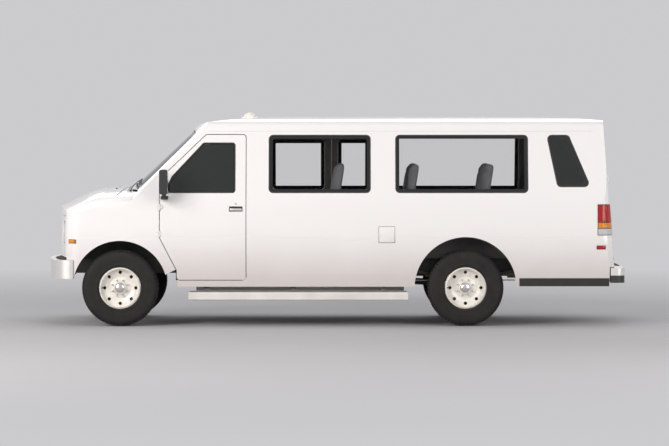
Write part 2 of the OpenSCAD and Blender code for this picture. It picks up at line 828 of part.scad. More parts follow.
// Running boards between the wheels, each on three brackets from its rail
board_x = [-745, 1480];
board_y = [845, 1000];
board_z = [310, 350];
board_lip_z = 262;
bracket_x = [-500, 420, 1300];
module running_boards() {
    color("gainsboro") both() {
        along_x(board_x[0], board_x[1]) rounded(12)
            polygon([[board_y[0], board_z[0]], [board_y[1] - 40, board_z[0]], [board_y[1] - 32, board_lip_z],
                [board_y[1], board_lip_z + 5], [board_y[1], board_z[1] - 8], [board_y[1] - 30, board_z[1]],
                [board_y[0], board_z[1]]]);
        for (x = bracket_x) along_x(x - 25, x + 25)
            polygon([[rail_y + rail_w / 2 + seat_gap, rail_z + 12], [rail_y + rail_w / 2 + seat_gap, rail_z + 62],
                [rail_y + rail_w / 2 + 12, rail_z + 62], [board_y[0] + 30, board_z[1] - 5],
                [board_y[0] + 30, board_z[0] + 10], [board_y[0] + 2, board_z[0] + 10]]);
    }
}

// Front beams, one per side, crossing at the middle
module front_axle() {
    color("dimgray") difference() {
        union() {
            for (s = [-1, 1]) mirror([0, s > 0 ? 0 : 1, 0]) translate([0, 0, beam_top_z - 70])
                linear_extrude(70) polygon([[front_axle_x - s * 45 - 28, -260], [front_axle_x - s * 45 + 28, -260],
                    [front_axle_x + 34, 700], [front_axle_x + 34, kingpin_y], [front_axle_x - 34, kingpin_y],
                    [front_axle_x - 34, 700]]);
            both() translate([front_axle_x, kingpin_y, 332]) cylinder(r = 34, h = 110);
        }
        both() translate([front_axle_x, kingpin_y, 300]) cylinder(r = 20 + pin_play, h = 180);
    }
}
module coil_springs() {
    color("dimgray") both() translate([front_axle_x, coil_y, beam_top_z]) rotate_extrude()
        polygon(concat([[34, 0]], [for (i = [0:10]) [i % 2 == 0 ? 58 : 70, i * (coil_h / 10)]], [[34, coil_h]]));
}
leaf_r = 1545;
leaf_t = 25;
leaf_z = 455;
housing_y = 685;
spindle_r = 30;
module rear_axle() {
    color("dimgray") union() {
        translate([rear_axle_x, 0, axle_z]) rotate([90, 0, 0]) cylinder(r = 45, h = 2 * housing_y, center = true);
        translate([rear_axle_x, 0, axle_z]) sphere(135, $fn = 32);
        translate([rear_axle_x, 0, axle_z]) rotate([0, 87, 0]) cylinder(r = 34, h = 2341);
        both() translate([rear_axle_x, housing_y, axle_z]) rotate([-90, 0, 0])
            cylinder(r = spindle_r, h = rear_track / 2 + 50 - housing_y);
        both() translate([rear_axle_x - 60, leaf_y - leaf_w / 2, axle_z]) cube([120, leaf_w, leaf_z - 2.3 - axle_z]);
    }
}
module leaf_springs() {
    color("dimgray") both() along_y(leaf_y - leaf_w / 2, leaf_y + leaf_w / 2) {
        translate([rear_axle_x, leaf_z + leaf_r]) difference() {
            intersection() {
                circle(leaf_r, $fn = 360);
                translate([-spring_half, -1600]) square([2 * spring_half, 400]);
            }
            circle(leaf_r - leaf_t, $fn = 360);
        }
    }
}

// Seats: [rear x, right y, left y] of each bench
benches = [[-30, -400, 880], [-790, -400, 880], [-1550, -400, 880], [-2310, -860, 860]];
bench_depth = 460;
bench_pad = [130, 45];
seat_y = 510;
seat_box_h = 180;
seat_w = 440;
seat_depth = 480;
seat_pad = [160, 50];
module seat_frames() {
    color("dimgray") union() {
        for (b = benches) {
            translate([b[0] + 20, b[1] + 40, bench_top_z - 40]) cube([bench_depth - 40, b[2] - b[1] - 80, 40]);
            for (y = [b[1] + 150, b[2] - 330], x = [b[0] + 60, b[0] + bench_depth - 100])
                translate([x, y, floor_z]) cube([40, 40, bench_top_z - 39 - floor_z]);
        }
        both() translate([1020, seat_y - 200, floor_z]) cube([400, 400, seat_box_h]);
    }
}
// Pads: a base of the given depth, height and edge radius, and a leaning back that rests on it
module pad(w, d, h, r) { along_y(0, w) rounded(r) square([d, h]); }
function back_rise(h, r, x, lean) = h - r + (r + seat_gap - (r - x) * sin(lean)) / cos(lean);
module bench_seats() {
    h = bench_pad[0];
    r = bench_pad[1];
    color("slategray") for (b = benches) translate([b[0], b[1], bench_top_z]) {
        w = b[2] - b[1];
        pad(w, bench_depth, h, r);
        translate([-10, 0, back_rise(h, r, -10, bench_lean)]) rotate([0, -bench_lean, 0]) pad(w, 110, 520, r);
    }
}
module front_seats() {
    h = seat_pad[0];
    r = seat_pad[1];
    color("slategray") both() translate([960, seat_y - seat_w / 2, floor_z + seat_box_h]) {
        pad(seat_w, seat_depth, h, r);
        translate([-20, 0, back_rise(h, r, -20, seat_lean)]) rotate([0, -seat_lean, 0]) {
            pad(seat_w, 120, 620, r);
            translate([15, 110, 620 + seat_gap]) pad(seat_w - 220, 90, 180, 40);
        }
    }
}

// Knuckle: two ears round the beam end, kingpin and spindle
module knuckle(s) {
    mirror([0, s > 0 ? 0 : 1, 0]) translate([front_axle_x, kingpin_y, 0]) {
        for (z = [292, 447]) translate([0, 0, z]) cylinder(r = 34, h = 35);
        translate([0, 0, 300]) cylinder(r = 20, h = 170);
        translate([-34, 0, 292]) cube([68, 34, 35]);
        translate([-34, 0, 447]) cube([68, 34, 35]);
        translate([-34, 40, 292]) cube([68, 22, 190]);
        for (z = [292, 447]) translate([-34, 30, z]) cube([68, 12, 35]);
        translate([0, 60, axle_z]) rotate([-90, 0, 0]) cylinder(r = spindle_r, h = kingpin_in - 30);
        translate([0, 61, axle_z]) rotate([-90, 0, 0]) cylinder(r = 150, h = 14);
    }
}
module knuckle_left() { color("dimgray") knuckle(1); }
module knuckle_right() { color("dimgray") knuckle(-1); }

// Wheel about its own axis, outer face at +Z
module tyre_solid() {
    r = tyre_d / 2;
    w = tyre_w / 2;
    b = rim_d / 2 - 14;
    color("black") rotate_extrude($fn = 96)
        polygon([[b, -w + 30], [b + 16, -w + 10], [b + 60, -w], [r - 50, -w + 2], [r - 18, -w + 12], [r - 4, -w + 28],
            [r, -40], [r, 40], [r - 4, w - 28], [r - 18, w - 12], [r - 50, w - 2], [b + 60, w], [b + 16, w - 10],
            [b, w - 30]]);
}
module rim_solid() {
    w = tyre_w / 2;
    b = rim_d / 2 - 14.5;
    color("ivory") difference() {
        rotate_extrude($fn = 96)
            polygon([[30.06, -40], [58, -40], [58, 20], [110, 12], [150, 30], [b - 12, 30], [b - 12, -w + 24],
                [b, -w + 18], [b, w - 18], [b - 12, w - 10], [b - 12, 48], [150, 48], [112, 34], [74, 42], [62, 62],
                [30.06, 62]]);
        for (i = [0:7]) rotate([0, 0, i * 45]) translate([158, 0, 0]) cylinder(r = 17, h = 80, $fn = 24);
    }
}
module place_wheel(x, s, y) {
    translate([x, s * y, axle_z]) rotate([-s * 90, 0, 0]) children();
}
module tyre_front_left() { place_wheel(front_axle_x, 1, front_track / 2) tyre_solid(); }
module tyre_front_right() { place_wheel(front_axle_x, -1, front_track / 2) tyre_solid(); }
module tyre_rear_left() { place_wheel(rear_axle_x, 1, rear_track / 2) tyre_solid(); }
module tyre_rear_right() { place_wheel(rear_axle_x, -1, rear_track / 2) tyre_solid(); }
module rim_front_left() { place_wheel(front_axle_x, 1, front_track / 2) rim_solid(); }
module rim_front_right() { place_wheel(front_axle_x, -1, front_track / 2) rim_solid(); }
module rim_rear_left() { place_wheel(rear_axle_x, 1, rear_track / 2) rim_solid(); }
module rim_rear_right() { place_wheel(rear_axle_x, -1, rear_track / 2) rim_solid(); }

chassis_frame();
floor_pan();
side_panel_left();
side_panel_right();
roof_panel();
front_body();
windshield();
side_glass();
grille();
headlamps();
tail_lamps();
front_bumper();
rear_bumper();
dashboard();
engine_cover();
engine_block();
exhaust_pipe();
fuel_tank();
running_boards();
front_axle();
coil_springs();
rear_axle();
leaf_springs();
seat_frames();
front_seats();
bench_seats();
roof_beacon();
hood();
driver_door();
driver_door_glass();
mirror_left();
passenger_door();
passenger_door_glass();
mirror_right();
side_door_front();
side_glass_front();
side_door_rear();
side_glass_rear();
rear_door_left();
rear_glass_left();
rear_door_right();
rear_glass_right();
knuckle_left();
knuckle_right();
tyre_front_left();
rim_front_left();
tyre_front_right();
rim_front_right();
tyre_rear_left();
rim_rear_left();
tyre_rear_right();
rim_rear_right();
steering_wheel();
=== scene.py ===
import math

import bmesh
import bpy
from mathutils import Matrix, Vector
from mathutils.bvhtree import BVHTree


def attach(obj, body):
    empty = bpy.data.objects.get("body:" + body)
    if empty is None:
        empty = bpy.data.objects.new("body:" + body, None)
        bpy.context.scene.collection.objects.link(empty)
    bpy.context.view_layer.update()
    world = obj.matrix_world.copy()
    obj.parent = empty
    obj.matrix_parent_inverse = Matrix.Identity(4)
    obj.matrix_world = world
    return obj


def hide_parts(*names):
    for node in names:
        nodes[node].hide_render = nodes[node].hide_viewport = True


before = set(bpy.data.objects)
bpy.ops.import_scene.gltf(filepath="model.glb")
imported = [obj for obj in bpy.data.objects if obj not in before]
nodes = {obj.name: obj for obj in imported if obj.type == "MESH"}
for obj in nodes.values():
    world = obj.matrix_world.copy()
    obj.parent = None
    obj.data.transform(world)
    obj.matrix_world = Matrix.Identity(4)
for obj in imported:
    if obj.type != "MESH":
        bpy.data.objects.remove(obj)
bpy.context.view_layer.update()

scene = bpy.context.scene

# Studio: a pale floor that runs out to an even pale surround, soft lamps on all sides, and a long lens
# nearly square to the left side, because the photograph was taken from far off and just above the sills.
van_length, near_flank, van_share = 5.89, 1.0, 0.88
lens, half_film = 180, 18
low_look = math.radians(1.7)
aim = Vector((0, 0.4, 1.03))
away = 0.5 * van_length / van_share * lens / half_film + near_flank
camera = bpy.data.objects.new("camera", bpy.data.cameras.new("camera"))
camera.data.lens, camera.data.clip_end = lens, 400
line = Vector((0, math.cos(low_look), math.sin(low_look)))
camera.location = aim + line * away
camera.rotation_euler = line.to_track_quat("Z", "Y").to_euler()
scene.collection.objects.link(camera)
scene.camera = camera
scene.view_settings.view_transform = "Standard"

sunlit, neutral = (1.0, 0.955, 0.925), (1, 1, 1)
lamps = (("key", (9.5, 10, 5.5), 7, 7, 1240, sunlit), ("side_fill", (-8, 11, 4.5), 7, 7, 590, sunlit),
         ("far_fill", (0, -12, 8), 18, 8, 430, neutral), ("front_fill", (13, -2, 5), 6, 6, 135, neutral),
         ("rear_fill", (-13, -2, 6), 6, 6, 330, neutral), ("top", (0, 0, 11), 8, 8, 70, neutral))
for name, spot, wide, tall, watts, shade in lamps:
    lamp = bpy.data.objects.new(name, bpy.data.lights.new(name, "AREA"))
    lamp.data.shape, lamp.data.size, lamp.data.size_y, lamp.data.energy = "RECTANGLE", wide, tall, watts
    lamp.data.color = shade
    lamp.location = spot
    lamp.rotation_euler = (Vector(spot) - Vector((0, 0, 1))).to_track_quat("Z", "Y").to_euler()
    scene.collection.objects.link(lamp)

pale_back = (0.60, 0.595, 0.61, 1)
surround = bpy.data.worlds.new("surround")
scene.world = surround
surround.use_nodes = True
tree = surround.node_tree
rays = tree.nodes.new("ShaderNodeLightPath")
seen = tree.nodes.new("ShaderNodeMath")
seen_all = tree.nodes.new("ShaderNodeMath")
seen.operation = seen_all.operation = "ADD"
seen_all.use_clamp = True
wall = tree.nodes.new("ShaderNodeBackground")
wall.inputs["Color"].default_value = pale_back
fill = tree.nodes["Background"]
fill.inputs["Color"].default_value = (0.93, 0.95, 1.0, 1)
fill.inputs["Strength"].default_value = 0.38
either = tree.nodes.new("ShaderNodeMixShader")
tree.links.new(rays.outputs["Is Camera Ray"], seen.inputs[0])
tree.links.new(rays.outputs["Is Glossy Ray"], seen.inputs[1])
tree.links.new(seen.outputs[0], seen_all.inputs[0])
tree.links.new(rays.outputs["Is Transmission Ray"], seen_all.inputs[1])
tree.links.new(seen_all.outputs[0], either.inputs[0])
tree.links.new(fill.outputs[0], either.inputs[1])
tree.links.new(wall.outputs[0], either.inputs[2])
tree.links.new(either.outputs[0], tree.nodes["World Output"].inputs["Surface"])


class Wire:
    """A socket inside a finish. Arithmetic on it adds Math nodes."""

    def __init__(self, finish, socket):
        self.finish, self.socket = finish, socket

    def work(self, operation, *values):
        return self.finish.node("Math", dict(enumerate(values)), {"operation": operation})

    def __add__(self, other):
        return self.work("ADD", self, other)

    def __mul__(self, other):
        return self.work("MULTIPLY", self, other)

    __radd__, __rmul__ = __add__, __mul__


class Finish:
    """A material in the making. Words are the plain values of its main shader's sockets."""

    def __init__(self, name, **plain):
        self.material = bpy.data.materials.new(name)
        self.material.use_nodes = True
        self.tree = self.material.node_tree
        self.shader = self.tree.nodes["Principled BSDF"]
        for word, value in plain.items():
            self.shader.inputs[word.replace("_", " ")].default_value = value
        self.place = self.node("TexCoord", out="Object")

    def node(self, kind, feeds=None, sets=None, stops=(), out=0):
        made = self.tree.nodes.new("ShaderNode" + kind)
        for word, value in (sets or {}).items():
            setattr(made, word, value)
        for i, (at, shade) in enumerate(stops):
            stop = made.color_ramp.elements[i] if i < 2 else made.color_ramp.elements.new(at)
            stop.position, stop.color = at, shade
        for key, value in (feeds or {}).items():
            if isinstance(value, Wire):
                self.tree.links.new(value.socket, made.inputs[key])
            else:
                made.inputs[key].default_value = value
        return Wire(self, made.outputs[out])

    def feed(self, socket, wire):
        self.tree.links.new(wire.socket, self.shader.inputs[socket])

    def noise(self, scale, detail=3.0, rough=0.5, stretch=(1, 1, 1)):
        at = self.node("Mapping", {"Vector": self.place, "Scale": stretch})
        return self.node("TexNoise", {"Vector": at, "Scale": scale, "Detail": detail, "Roughness": rough})

    def waves(self, scale, direction="Y", profile="SIN", distortion=0.0):
        return self.node("TexWave", {"Vector": self.place, "Scale": scale, "Distortion": distortion},
                         {"wave_type": "BANDS", "bands_direction": direction, "wave_profile": profile})

    def between(self, wire, low, high, start=0.0, end=1.0):
        return self.node("MapRange", {"Value": wire, "From Min": low, "From Max": high,
                                      "To Min": start, "To Max": end})

    def blend(self, share, first, second):
        return self.node("Mix", {0: share, 6: first, 7: second}, {"data_type": "RGBA"}, out=2)

    def relief(self, height, depth, strength=1.0):
        self.feed("Normal", self.node("Bump", {"Height": height, "Distance": depth, "Strength": strength}))

    def height(self):
        return self.node("SeparateXYZ", {0: self.place}, out="Z")


def grained(name, shade, rough, scale, depth, spread=0.25, patch=6.0, worn=None, **plain):
    """A finish with a fine grain, broad patches of tone and, where given, a second colour in the patches."""
    made = Finish(name, **plain)
    broad = made.between(made.noise(patch, 4), 0.3, 0.7)
    fine = made.noise(scale, 2)
    dark = tuple(c * (1 - spread) for c in shade[:3]) + (1,)
    made.feed("Base Color", made.blend(broad, worn or dark, shade[:3] + (1,)))
    made.feed("Roughness", made.between(broad + fine * 0.5, 0, 1.5, rough + 0.08, rough - 0.05))
    made.relief(fine, depth)
    return made


floor = grained("pale_floor", (0.50, 0.495, 0.50), 0.85, 60, 0.0006, spread=0.05, patch=0.35)
fade_from, fade_to, floor_size = 4.5, 13, 300
reach = floor.node("VectorMath", {0: floor.place}, {"operation": "LENGTH"}, out="Value")
looked_at = floor.node("LightPath", out="Is Camera Ray")
mirrored = floor.node("LightPath", out="Is Glossy Ray") + floor.node("LightPath", out="Is Transmission Ray")
faded = floor.between(reach, fade_from, fade_to) * (looked_at + mirrored)
far_floor = floor.node("Emission", {"Color": pale_back, "Strength": 1.0})
both = floor.node("MixShader", {0: faded, 1: Wire(floor, floor.shader.outputs[0]), 2: far_floor})
floor.tree.links.new(both.socket, floor.tree.nodes["Material Output"].inputs["Surface"])
mesh = bmesh.new()
bmesh.ops.create_grid(mesh, x_segments=4, y_segments=4, size=floor_size)
ground = bpy.data.meshes.new("studio_floor")
mesh.to_mesh(ground)
mesh.free()
ground.materials.append(floor.material)
ground = bpy.data.objects.new("studio_floor", ground)
scene.collection.objects.link(ground)


# Running gear: a black painted ladder frame with a cast engine block, drop-forged front beams under coil
# springs, and a tube axle on leaf packs. The pressed steel is dipped in satin black and collects road dust.
def coat(finish, *names):
    for name in names:
        nodes[name].data.materials.clear()
        nodes[name].data.materials.append(finish.material)


def piece(name, mesh, finish, body, crease=35, closed=True):
    """Makes a finished mesh from a bmesh, smooth but for its sharp edges, and hangs it on a body."""
    if closed:
        bmesh.ops.recalc_face_normals(mesh, faces=mesh.faces)
    data = bpy.data.meshes.new(name)
    mesh.to_mesh(data)
    mesh.free()
    for one in finish if isinstance(finish, tuple) else (finish,):
        data.materials.append(one.material)
    data.polygons.foreach_set("use_smooth", [True] * len(data.polygons))
    data.set_sharp_from_angle(angle=math.radians(crease))
    made = bpy.data.objects.new(name, data)
    scene.collection.objects.link(made)
    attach(made, body)
    return made


def put(mesh, part, place=Matrix()):
    """Moves a finished small shape to its place and adds it to a mesh."""
    part.transform(place)
    data = bpy.data.meshes.new("shape")
    part.to_mesh(data)
    part.free()
    mesh.from_mesh(data)
    bpy.data.meshes.remove(data)


def block(mesh, low, high, soften=0.0, steps=2, place=Matrix()):
    """Adds a box between two corners, with its edges rounded."""
    low, high = Vector(low), Vector(high)
    part = bmesh.new()
    bmesh.ops.create_cube(part, size=1)
    bmesh.ops.scale(part, vec=high - low, verts=part.verts)
    bmesh.ops.translate(part, vec=(low + high) / 2, verts=part.verts)
    if soften:
        bmesh.ops.bevel(part, geom=part.edges[:], offset=soften, segments=steps, profile=0.5, affect="EDGES",
                        material=-1)
    put(mesh, part, place)


def lathe(mesh, line, centre, axis, steps=48, closed=False):
    """Spins a line of (radius, distance along the axis) pairs about an axis through a centre."""
    axis = Vector(axis).normalized()
    out = axis.orthogonal().normalized()
    made = [mesh.verts.new(Vector(centre) + out * r + axis * h) for r, h in line]
    edges = [mesh.edges.new(pair) for pair in zip(made, made[1:] + made[:1] if closed else made[1:])]
    spun = bmesh.ops.spin(mesh, geom=made + edges, cent=centre, axis=axis, angle=math.tau, steps=steps,
                          use_merge=True)
    bmesh.ops.remove_doubles(mesh, verts=[v for v in mesh.verts if v.is_valid], dist=1e-6)
    return spun


def rod(mesh, start, end, radius, steps=16):
    start, end = Vector(start), Vector(end)
    run = (end - start).length
    edge = min(radius * 0.2, run * 0.2)
    lathe(mesh, [(0, 0), (radius - edge, 0), (radius, edge), (radius, run - edge), (radius - edge, run),
                 (0, run)], start, end - start, steps)


chassis_black = grained("chassis_black", (0.030, 0.030, 0.032), 0.42, 240, 0.0002,
                        worn=(0.075, 0.068, 0.06, 1))
engine_iron = grained("engine_iron", (0.17, 0.165, 0.16), 0.62, 160, 0.0009, Metallic=0.7)
pipe_steel = grained("pipe_steel", (0.36, 0.33, 0.30), 0.45, 90, 0.0003, worn=(0.22, 0.13, 0.08, 1),
                     Metallic=0.85)
bare_steel = grained("bare_steel", (0.62, 0.61, 0.60), 0.30, 300, 0.0001, Metallic=1.0)
coat(chassis_black, "chassis_frame", "front_axle", "rear_axle", "leaf_springs", "seat_frames")
coat(engine_iron, "engine_block", "knuckle_left", "knuckle_right")
coat(pipe_steel, "exhaust_pipe")

front_x, rear_x, axle_z = 2.175, -1.330, 0.387
coil_y, coil_foot, coil_h = 0.600, 0.415, 0.204
turns, wire_r, coil_r = 5.5, 0.0085, 0.058
coil_steps = int(turns * 24)
mesh = bmesh.new()
for side in (1, -1):
    ring = bmesh.ops.create_circle(mesh, segments=10, radius=wire_r, cap_ends=True)["verts"]
    bmesh.ops.rotate(mesh, verts=ring, cent=(0, 0, 0), matrix=Matrix.Rotation(math.pi / 2, 3, "X"))
    start = (front_x + coil_r, side * coil_y, coil_foot + wire_r)
    bmesh.ops.translate(mesh, verts=ring, vec=start)
    climb = coil_h - 2 * wire_r
    faces = [f for f in mesh.faces if all(v in ring for v in f.verts)]
    bmesh.ops.spin(mesh, geom=faces, cent=(front_x, side * coil_y, 0), axis=(0, 0, 1), angle=math.tau * turns,
                   steps=coil_steps, dvec=(0, 0, climb / coil_steps), use_merge=False)
coils = piece("wound_coils", mesh, chassis_black, "body")
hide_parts("coil_springs")

leaf_y, leaf_w, leaf_top, leaf_t, leaf_step = 0.562, 0.065, 0.4535, 0.009, 0.011
bolt_r, bolt_top = 0.006, 0.492
mesh = bmesh.new()
for side in (1, -1):
    inner, outer = side * leaf_y - leaf_w / 2, side * leaf_y + leaf_w / 2
    for i, half in enumerate((0.52, 0.36, 0.20)):
        z = leaf_top - leaf_step * i
        block(mesh, (rear_x - half, inner, z - leaf_t), (rear_x + half, outer, z), 0.002, 1)
    for x in (rear_x - 0.05, rear_x + 0.05):
        for y in (inner - bolt_r, outer + bolt_r):
            rod(mesh, (x, y, axle_z - 0.05), (x, y, bolt_top), bolt_r, 10)
        block(mesh, (x - bolt_r, inner - 2 * bolt_r, bolt_top - 0.010),
              (x + bolt_r, outer + 2 * bolt_r, bolt_top + 0.002), 0.002, 1)
piece("leaf_bolts", mesh, bare_steel, "body")

# Radiator: a core of thin alloy fins in a black pressed frame, which the nose panel holds behind the grille.
# Its fan shroud is left off.
fins, fin_gap, fin_t = 44, 0.02, 0.003
mesh = bmesh.new()
block(mesh, (2.700, -0.440, 0.760), (2.735, 0.440, 1.060), 0.006)
piece("radiator_core", mesh, chassis_black, "body")
mesh = bmesh.new()
for i in range(fins):
    y = -0.43 + i * fin_gap
    block(mesh, (2.736, y, 0.770), (2.741, y + fin_t, 1.050))
piece("radiator_fins", mesh, engine_iron, "body")


# Tyres: black all-season rubber with five ribs of sipes. Each is a spun carcass with its tread blocks on it,
# greyer with dust in broad patches.
tyre_rubber = grained("tyre_rubber", (0.012, 0.0115, 0.0115), 0.74, 420, 0.0003, spread=0.3, patch=9,
                      worn=(0.024, 0.022, 0.020, 1), Specular_IOR_Level=0.3)
wheel_r, carcass_r, tyre_half = 0.3864, 0.3785, 0.1225
bead_r = 0.2075
carcass = [(bead_r, -0.0925), (bead_r + 0.016, -0.1125), (bead_r + 0.024, -0.1195), (bead_r + 0.030, -0.1175),
           (0.270, -0.1215), (0.285, -tyre_half), (0.287, -0.1205), (0.320, -0.1215), (0.345, -0.118),
           (0.362, -0.110), (0.372, -0.098), (carcass_r - 0.001, -0.075), (carcass_r, -0.03)]
carcass = carcass + [(r, -h) for r, h in reversed(carcass)]
rows = ((-0.088, 0.026, 0.0035), (-0.045, 0.032, 0.0), (0.0, 0.030, 0.0), (0.045, 0.032, 0.0),
        (0.088, 0.026, 0.0035))
blocks_round, block_long, block_deep = 60, 0.030, 0.014
block_skew, shoulder_tilt = 0.3, 0.14


def tyre_mesh(centre, side):
    mesh = bmesh.new()
    lathe(mesh, carcass, centre, (0, side, 0), 72, closed=True)
    bmesh.ops.recalc_face_normals(mesh, faces=mesh.faces)
    pitch = math.tau / blocks_round
    for i, (y, wide, drop) in enumerate(rows):
        top = wheel_r - drop
        made = bmesh.ops.create_cube(mesh, size=1)["verts"]
        bmesh.ops.scale(mesh, vec=(block_long, wide, block_deep), verts=made)
        bmesh.ops.rotate(mesh, verts=made, cent=(0, 0, 0),
                         matrix=Matrix.Rotation(block_skew * (-1) ** i, 3, "Z"))
        if drop:
            bmesh.ops.rotate(mesh, verts=made, cent=(0, 0, 0),
                             matrix=Matrix.Rotation(math.copysign(shoulder_tilt, -y), 3, "X"))
        bmesh.ops.translate(mesh, vec=(0, y, top - block_deep / 2), verts=made)
        bmesh.ops.rotate(mesh, verts=made, cent=(0, 0, 0),
                         matrix=Matrix.Rotation(pitch * (i % 2) / 2, 3, "Y"))
        bmesh.ops.translate(mesh, vec=centre, verts=made)
        faces = list({f for v in made for f in v.link_faces})
        bmesh.ops.spin(mesh, geom=faces, cent=centre, axis=(0, 1, 0), angle=math.tau - pitch,
                       steps=blocks_round - 1, use_duplicate=True)
    return mesh


# Wheels: pressed steel, sprayed cream white, with eight nuts, a domed hub cap and a rubber valve. The drums
# and discs behind them are bare iron.
wheel_paint = grained("wheel_paint", (0.86, 0.83, 0.76), 0.34, 380, 0.00008, spread=0.10, patch=14,
                      Coat_Weight=0.5, Coat_Roughness=0.12)
chrome = grained("chrome", (0.80, 0.80, 0.79), 0.13, 500, 0.00004, spread=0.06, Metallic=1.0)
coat(wheel_paint, "rim_front_left", "rim_front_right", "rim_rear_left", "rim_rear_right")
nuts, nut_circle, nut_r, first_nut = 8, 0.0825, 0.0115, 0.39
corners = (("front_left", front_x, 1, 0.880), ("front_right", front_x, -1, 0.880),
           ("rear_left", rear_x, 1, 0.855), ("rear_right", rear_x, -1, 0.855))
for name, x, side, y in corners:
    centre = Vector((x, side * y, axle_z))
    body = "wheel_" + name
    tyre = piece("tyre_tread_" + name, tyre_mesh(centre, side), tyre_rubber, body,
                 crease=40, closed=False)
    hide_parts("tyre_" + name)
    mesh = bmesh.new()
    for i in range(nuts):
        a = math.tau * i / nuts + first_nut
        foot = centre + Vector((nut_circle * math.sin(a), side * 0.037, nut_circle * math.cos(a)))
        lathe(mesh, [(0, 0), (nut_r, 0), (nut_r, 0.014), (nut_r * 0.8, 0.019), (0, 0.021)], foot,
              (0, side, 0), 6)
    piece("nuts_" + name, mesh, chrome, body, crease=25)
    mesh = bmesh.new()
    lathe(mesh, [(0.054, 0.060), (0.056, 0.066), (0.052, 0.078), (0.045, 0.088), (0.030, 0.095),
                 (0.0, 0.098)], centre, (0, side, 0), 40)
    lathe(mesh, [(0.207, 0.098), (0.211, 0.107), (0.216, 0.104), (0.2165, 0.0985)], centre, (0, side, 0), 72)
    bmesh.ops.solidify(mesh, geom=mesh.faces[:], thickness=0.0012)
    piece("hub_cap_" + name, mesh, chrome, body)
    mesh = bmesh.new()
    rod(mesh, centre + Vector((0.172, side * 0.030, 0)), centre + Vector((0.186, side * 0.062, 0)),
        0.0045, 10)
    piece("valve_" + name, mesh, tyre_rubber, body)
    mesh = bmesh.new()
    lathe(mesh, [(0.065, -0.002), (0.150, -0.002), (0.158, -0.010), (0.158, -0.070), (0.150, -0.078),
                 (0.065, -0.078)], centre, (0, side, 0), 64, closed=True)
    piece("brake_" + name, mesh, engine_iron, body)


# Body shell: pressed steel panels in glossy white, a little warm and dusty along the sills, with painted
# shade that darkens the lower sides.
# The panels are the solids' own shapes with softened edges. Their inner faces carry grey moulded lining.
white_paint = Finish("white_paint", Coat_Weight=0.9, Coat_Roughness=0.06, Specular_IOR_Level=0.4)
# The darker colour towards the sills is partly dust and partly painted shade, which stands for the shade
# where the lower sides turn in.
clean_white, shaded_dusty_white, shade_and_dust_top, shade_and_dust_foot = (0.875, 0.862, 0.852, 1), (0.60, 0.545, 0.520, 1), 1.12, 0.42
dust_and_shade = white_paint.node("MapRange", {"Value": white_paint.height() + white_paint.noise(1.6, 4) * 0.16,
                                     "From Min": shade_and_dust_top, "From Max": shade_and_dust_foot},
                        {"interpolation_type": "SMOOTHSTEP"})
white_paint.feed("Base Color", white_paint.blend(dust_and_shade * 0.85, clean_white, shaded_dusty_white))
white_paint.feed("Roughness", dust_and_shade * 0.28 + 0.24)
white_paint.relief(white_paint.noise(260, 1), 0.00003)
lining = grained("grey_lining", (0.30, 0.29, 0.27), 0.62, 500, 0.0003, spread=0.08)
facing_in, pressed_edge = 0.6, 0.0025


def merged(name):
    """A copy of a node's mesh with its loose triangles joined and its flats made whole."""
    mesh = bmesh.new()
    mesh.from_mesh(nodes[name].data)
    bmesh.ops.remove_doubles(mesh, verts=mesh.verts, dist=1e-5)
    bmesh.ops.dissolve_limit(mesh, angle_limit=0.002, verts=mesh.verts, edges=mesh.edges)
    mesh.normal_update()
    return mesh


def panel(node, body, inward=None, finish=(white_paint, lining)):
    mesh = merged(node)
    if inward:
        for f in mesh.faces:
            if f.normal.dot(Vector(inward)) > facing_in:
                f.material_index = 1
    made = piece("panel_" + node, mesh, finish, body, crease=28, closed=False)
    soft = made.modifiers.new("edges", "BEVEL")
    soft.width, soft.segments = pressed_edge, 2
    soft.limit_method, soft.angle_limit = "ANGLE", math.radians(40)
    soft.material, soft.harden_normals = -1, False
    flat = made.modifiers.new("flats", "WEIGHTED_NORMAL")
    flat.keep_sharp, flat.weight = True, 80
    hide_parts(node)
    return made


panel("side_panel_left", "body", (0, -1, 0))
panel("side_panel_right", "body", (0, 1, 0))
panel("roof_panel", "body", (0, 0, -1))
panel("front_body", "body")
panel("hood", "hood")
panel("driver_door", "driver_door", (0, -1, 0))
panel("passenger_door", "passenger_door", (0, 1, 0))
panel("side_door_front", "side_door_front", (0, 1, 0))
panel("side_door_rear", "side_door_rear", (0, 1, 0))
panel("rear_door_left", "rear_door_left", (1, 0, 0))
panel("rear_door_right", "rear_door_right", (1, 0, 0))

# Windows: tinted safety glass, bonded in black rubber behind a printed black border. The front doors' panes
# and the rearmost ones are darker than those between.
last_pillar, pane_facing, sliver = -2.10, 0.75, 0.0008


def tinted(name, cover, rear_cover=0.0):
    """Glass that covers this share of what is behind it, and more behind the last pillar."""
    made = Finish(name, Base_Color=(0.022, 0.026, 0.024, 1), Roughness=0.03, IOR=1.5)
    edge_on = made.node("LayerWeight", {"Blend": 0.25}, out="Fresnel")
    share = made.between(edge_on, 0.02, 0.7, cover, 0.96)
    if rear_cover:
        along = made.node("SeparateXYZ", {0: made.place}, out="X")
        share = share + made.between(along, last_pillar + 0.05, last_pillar - 0.05) * rear_cover
    made.feed("Alpha", share)
    return made


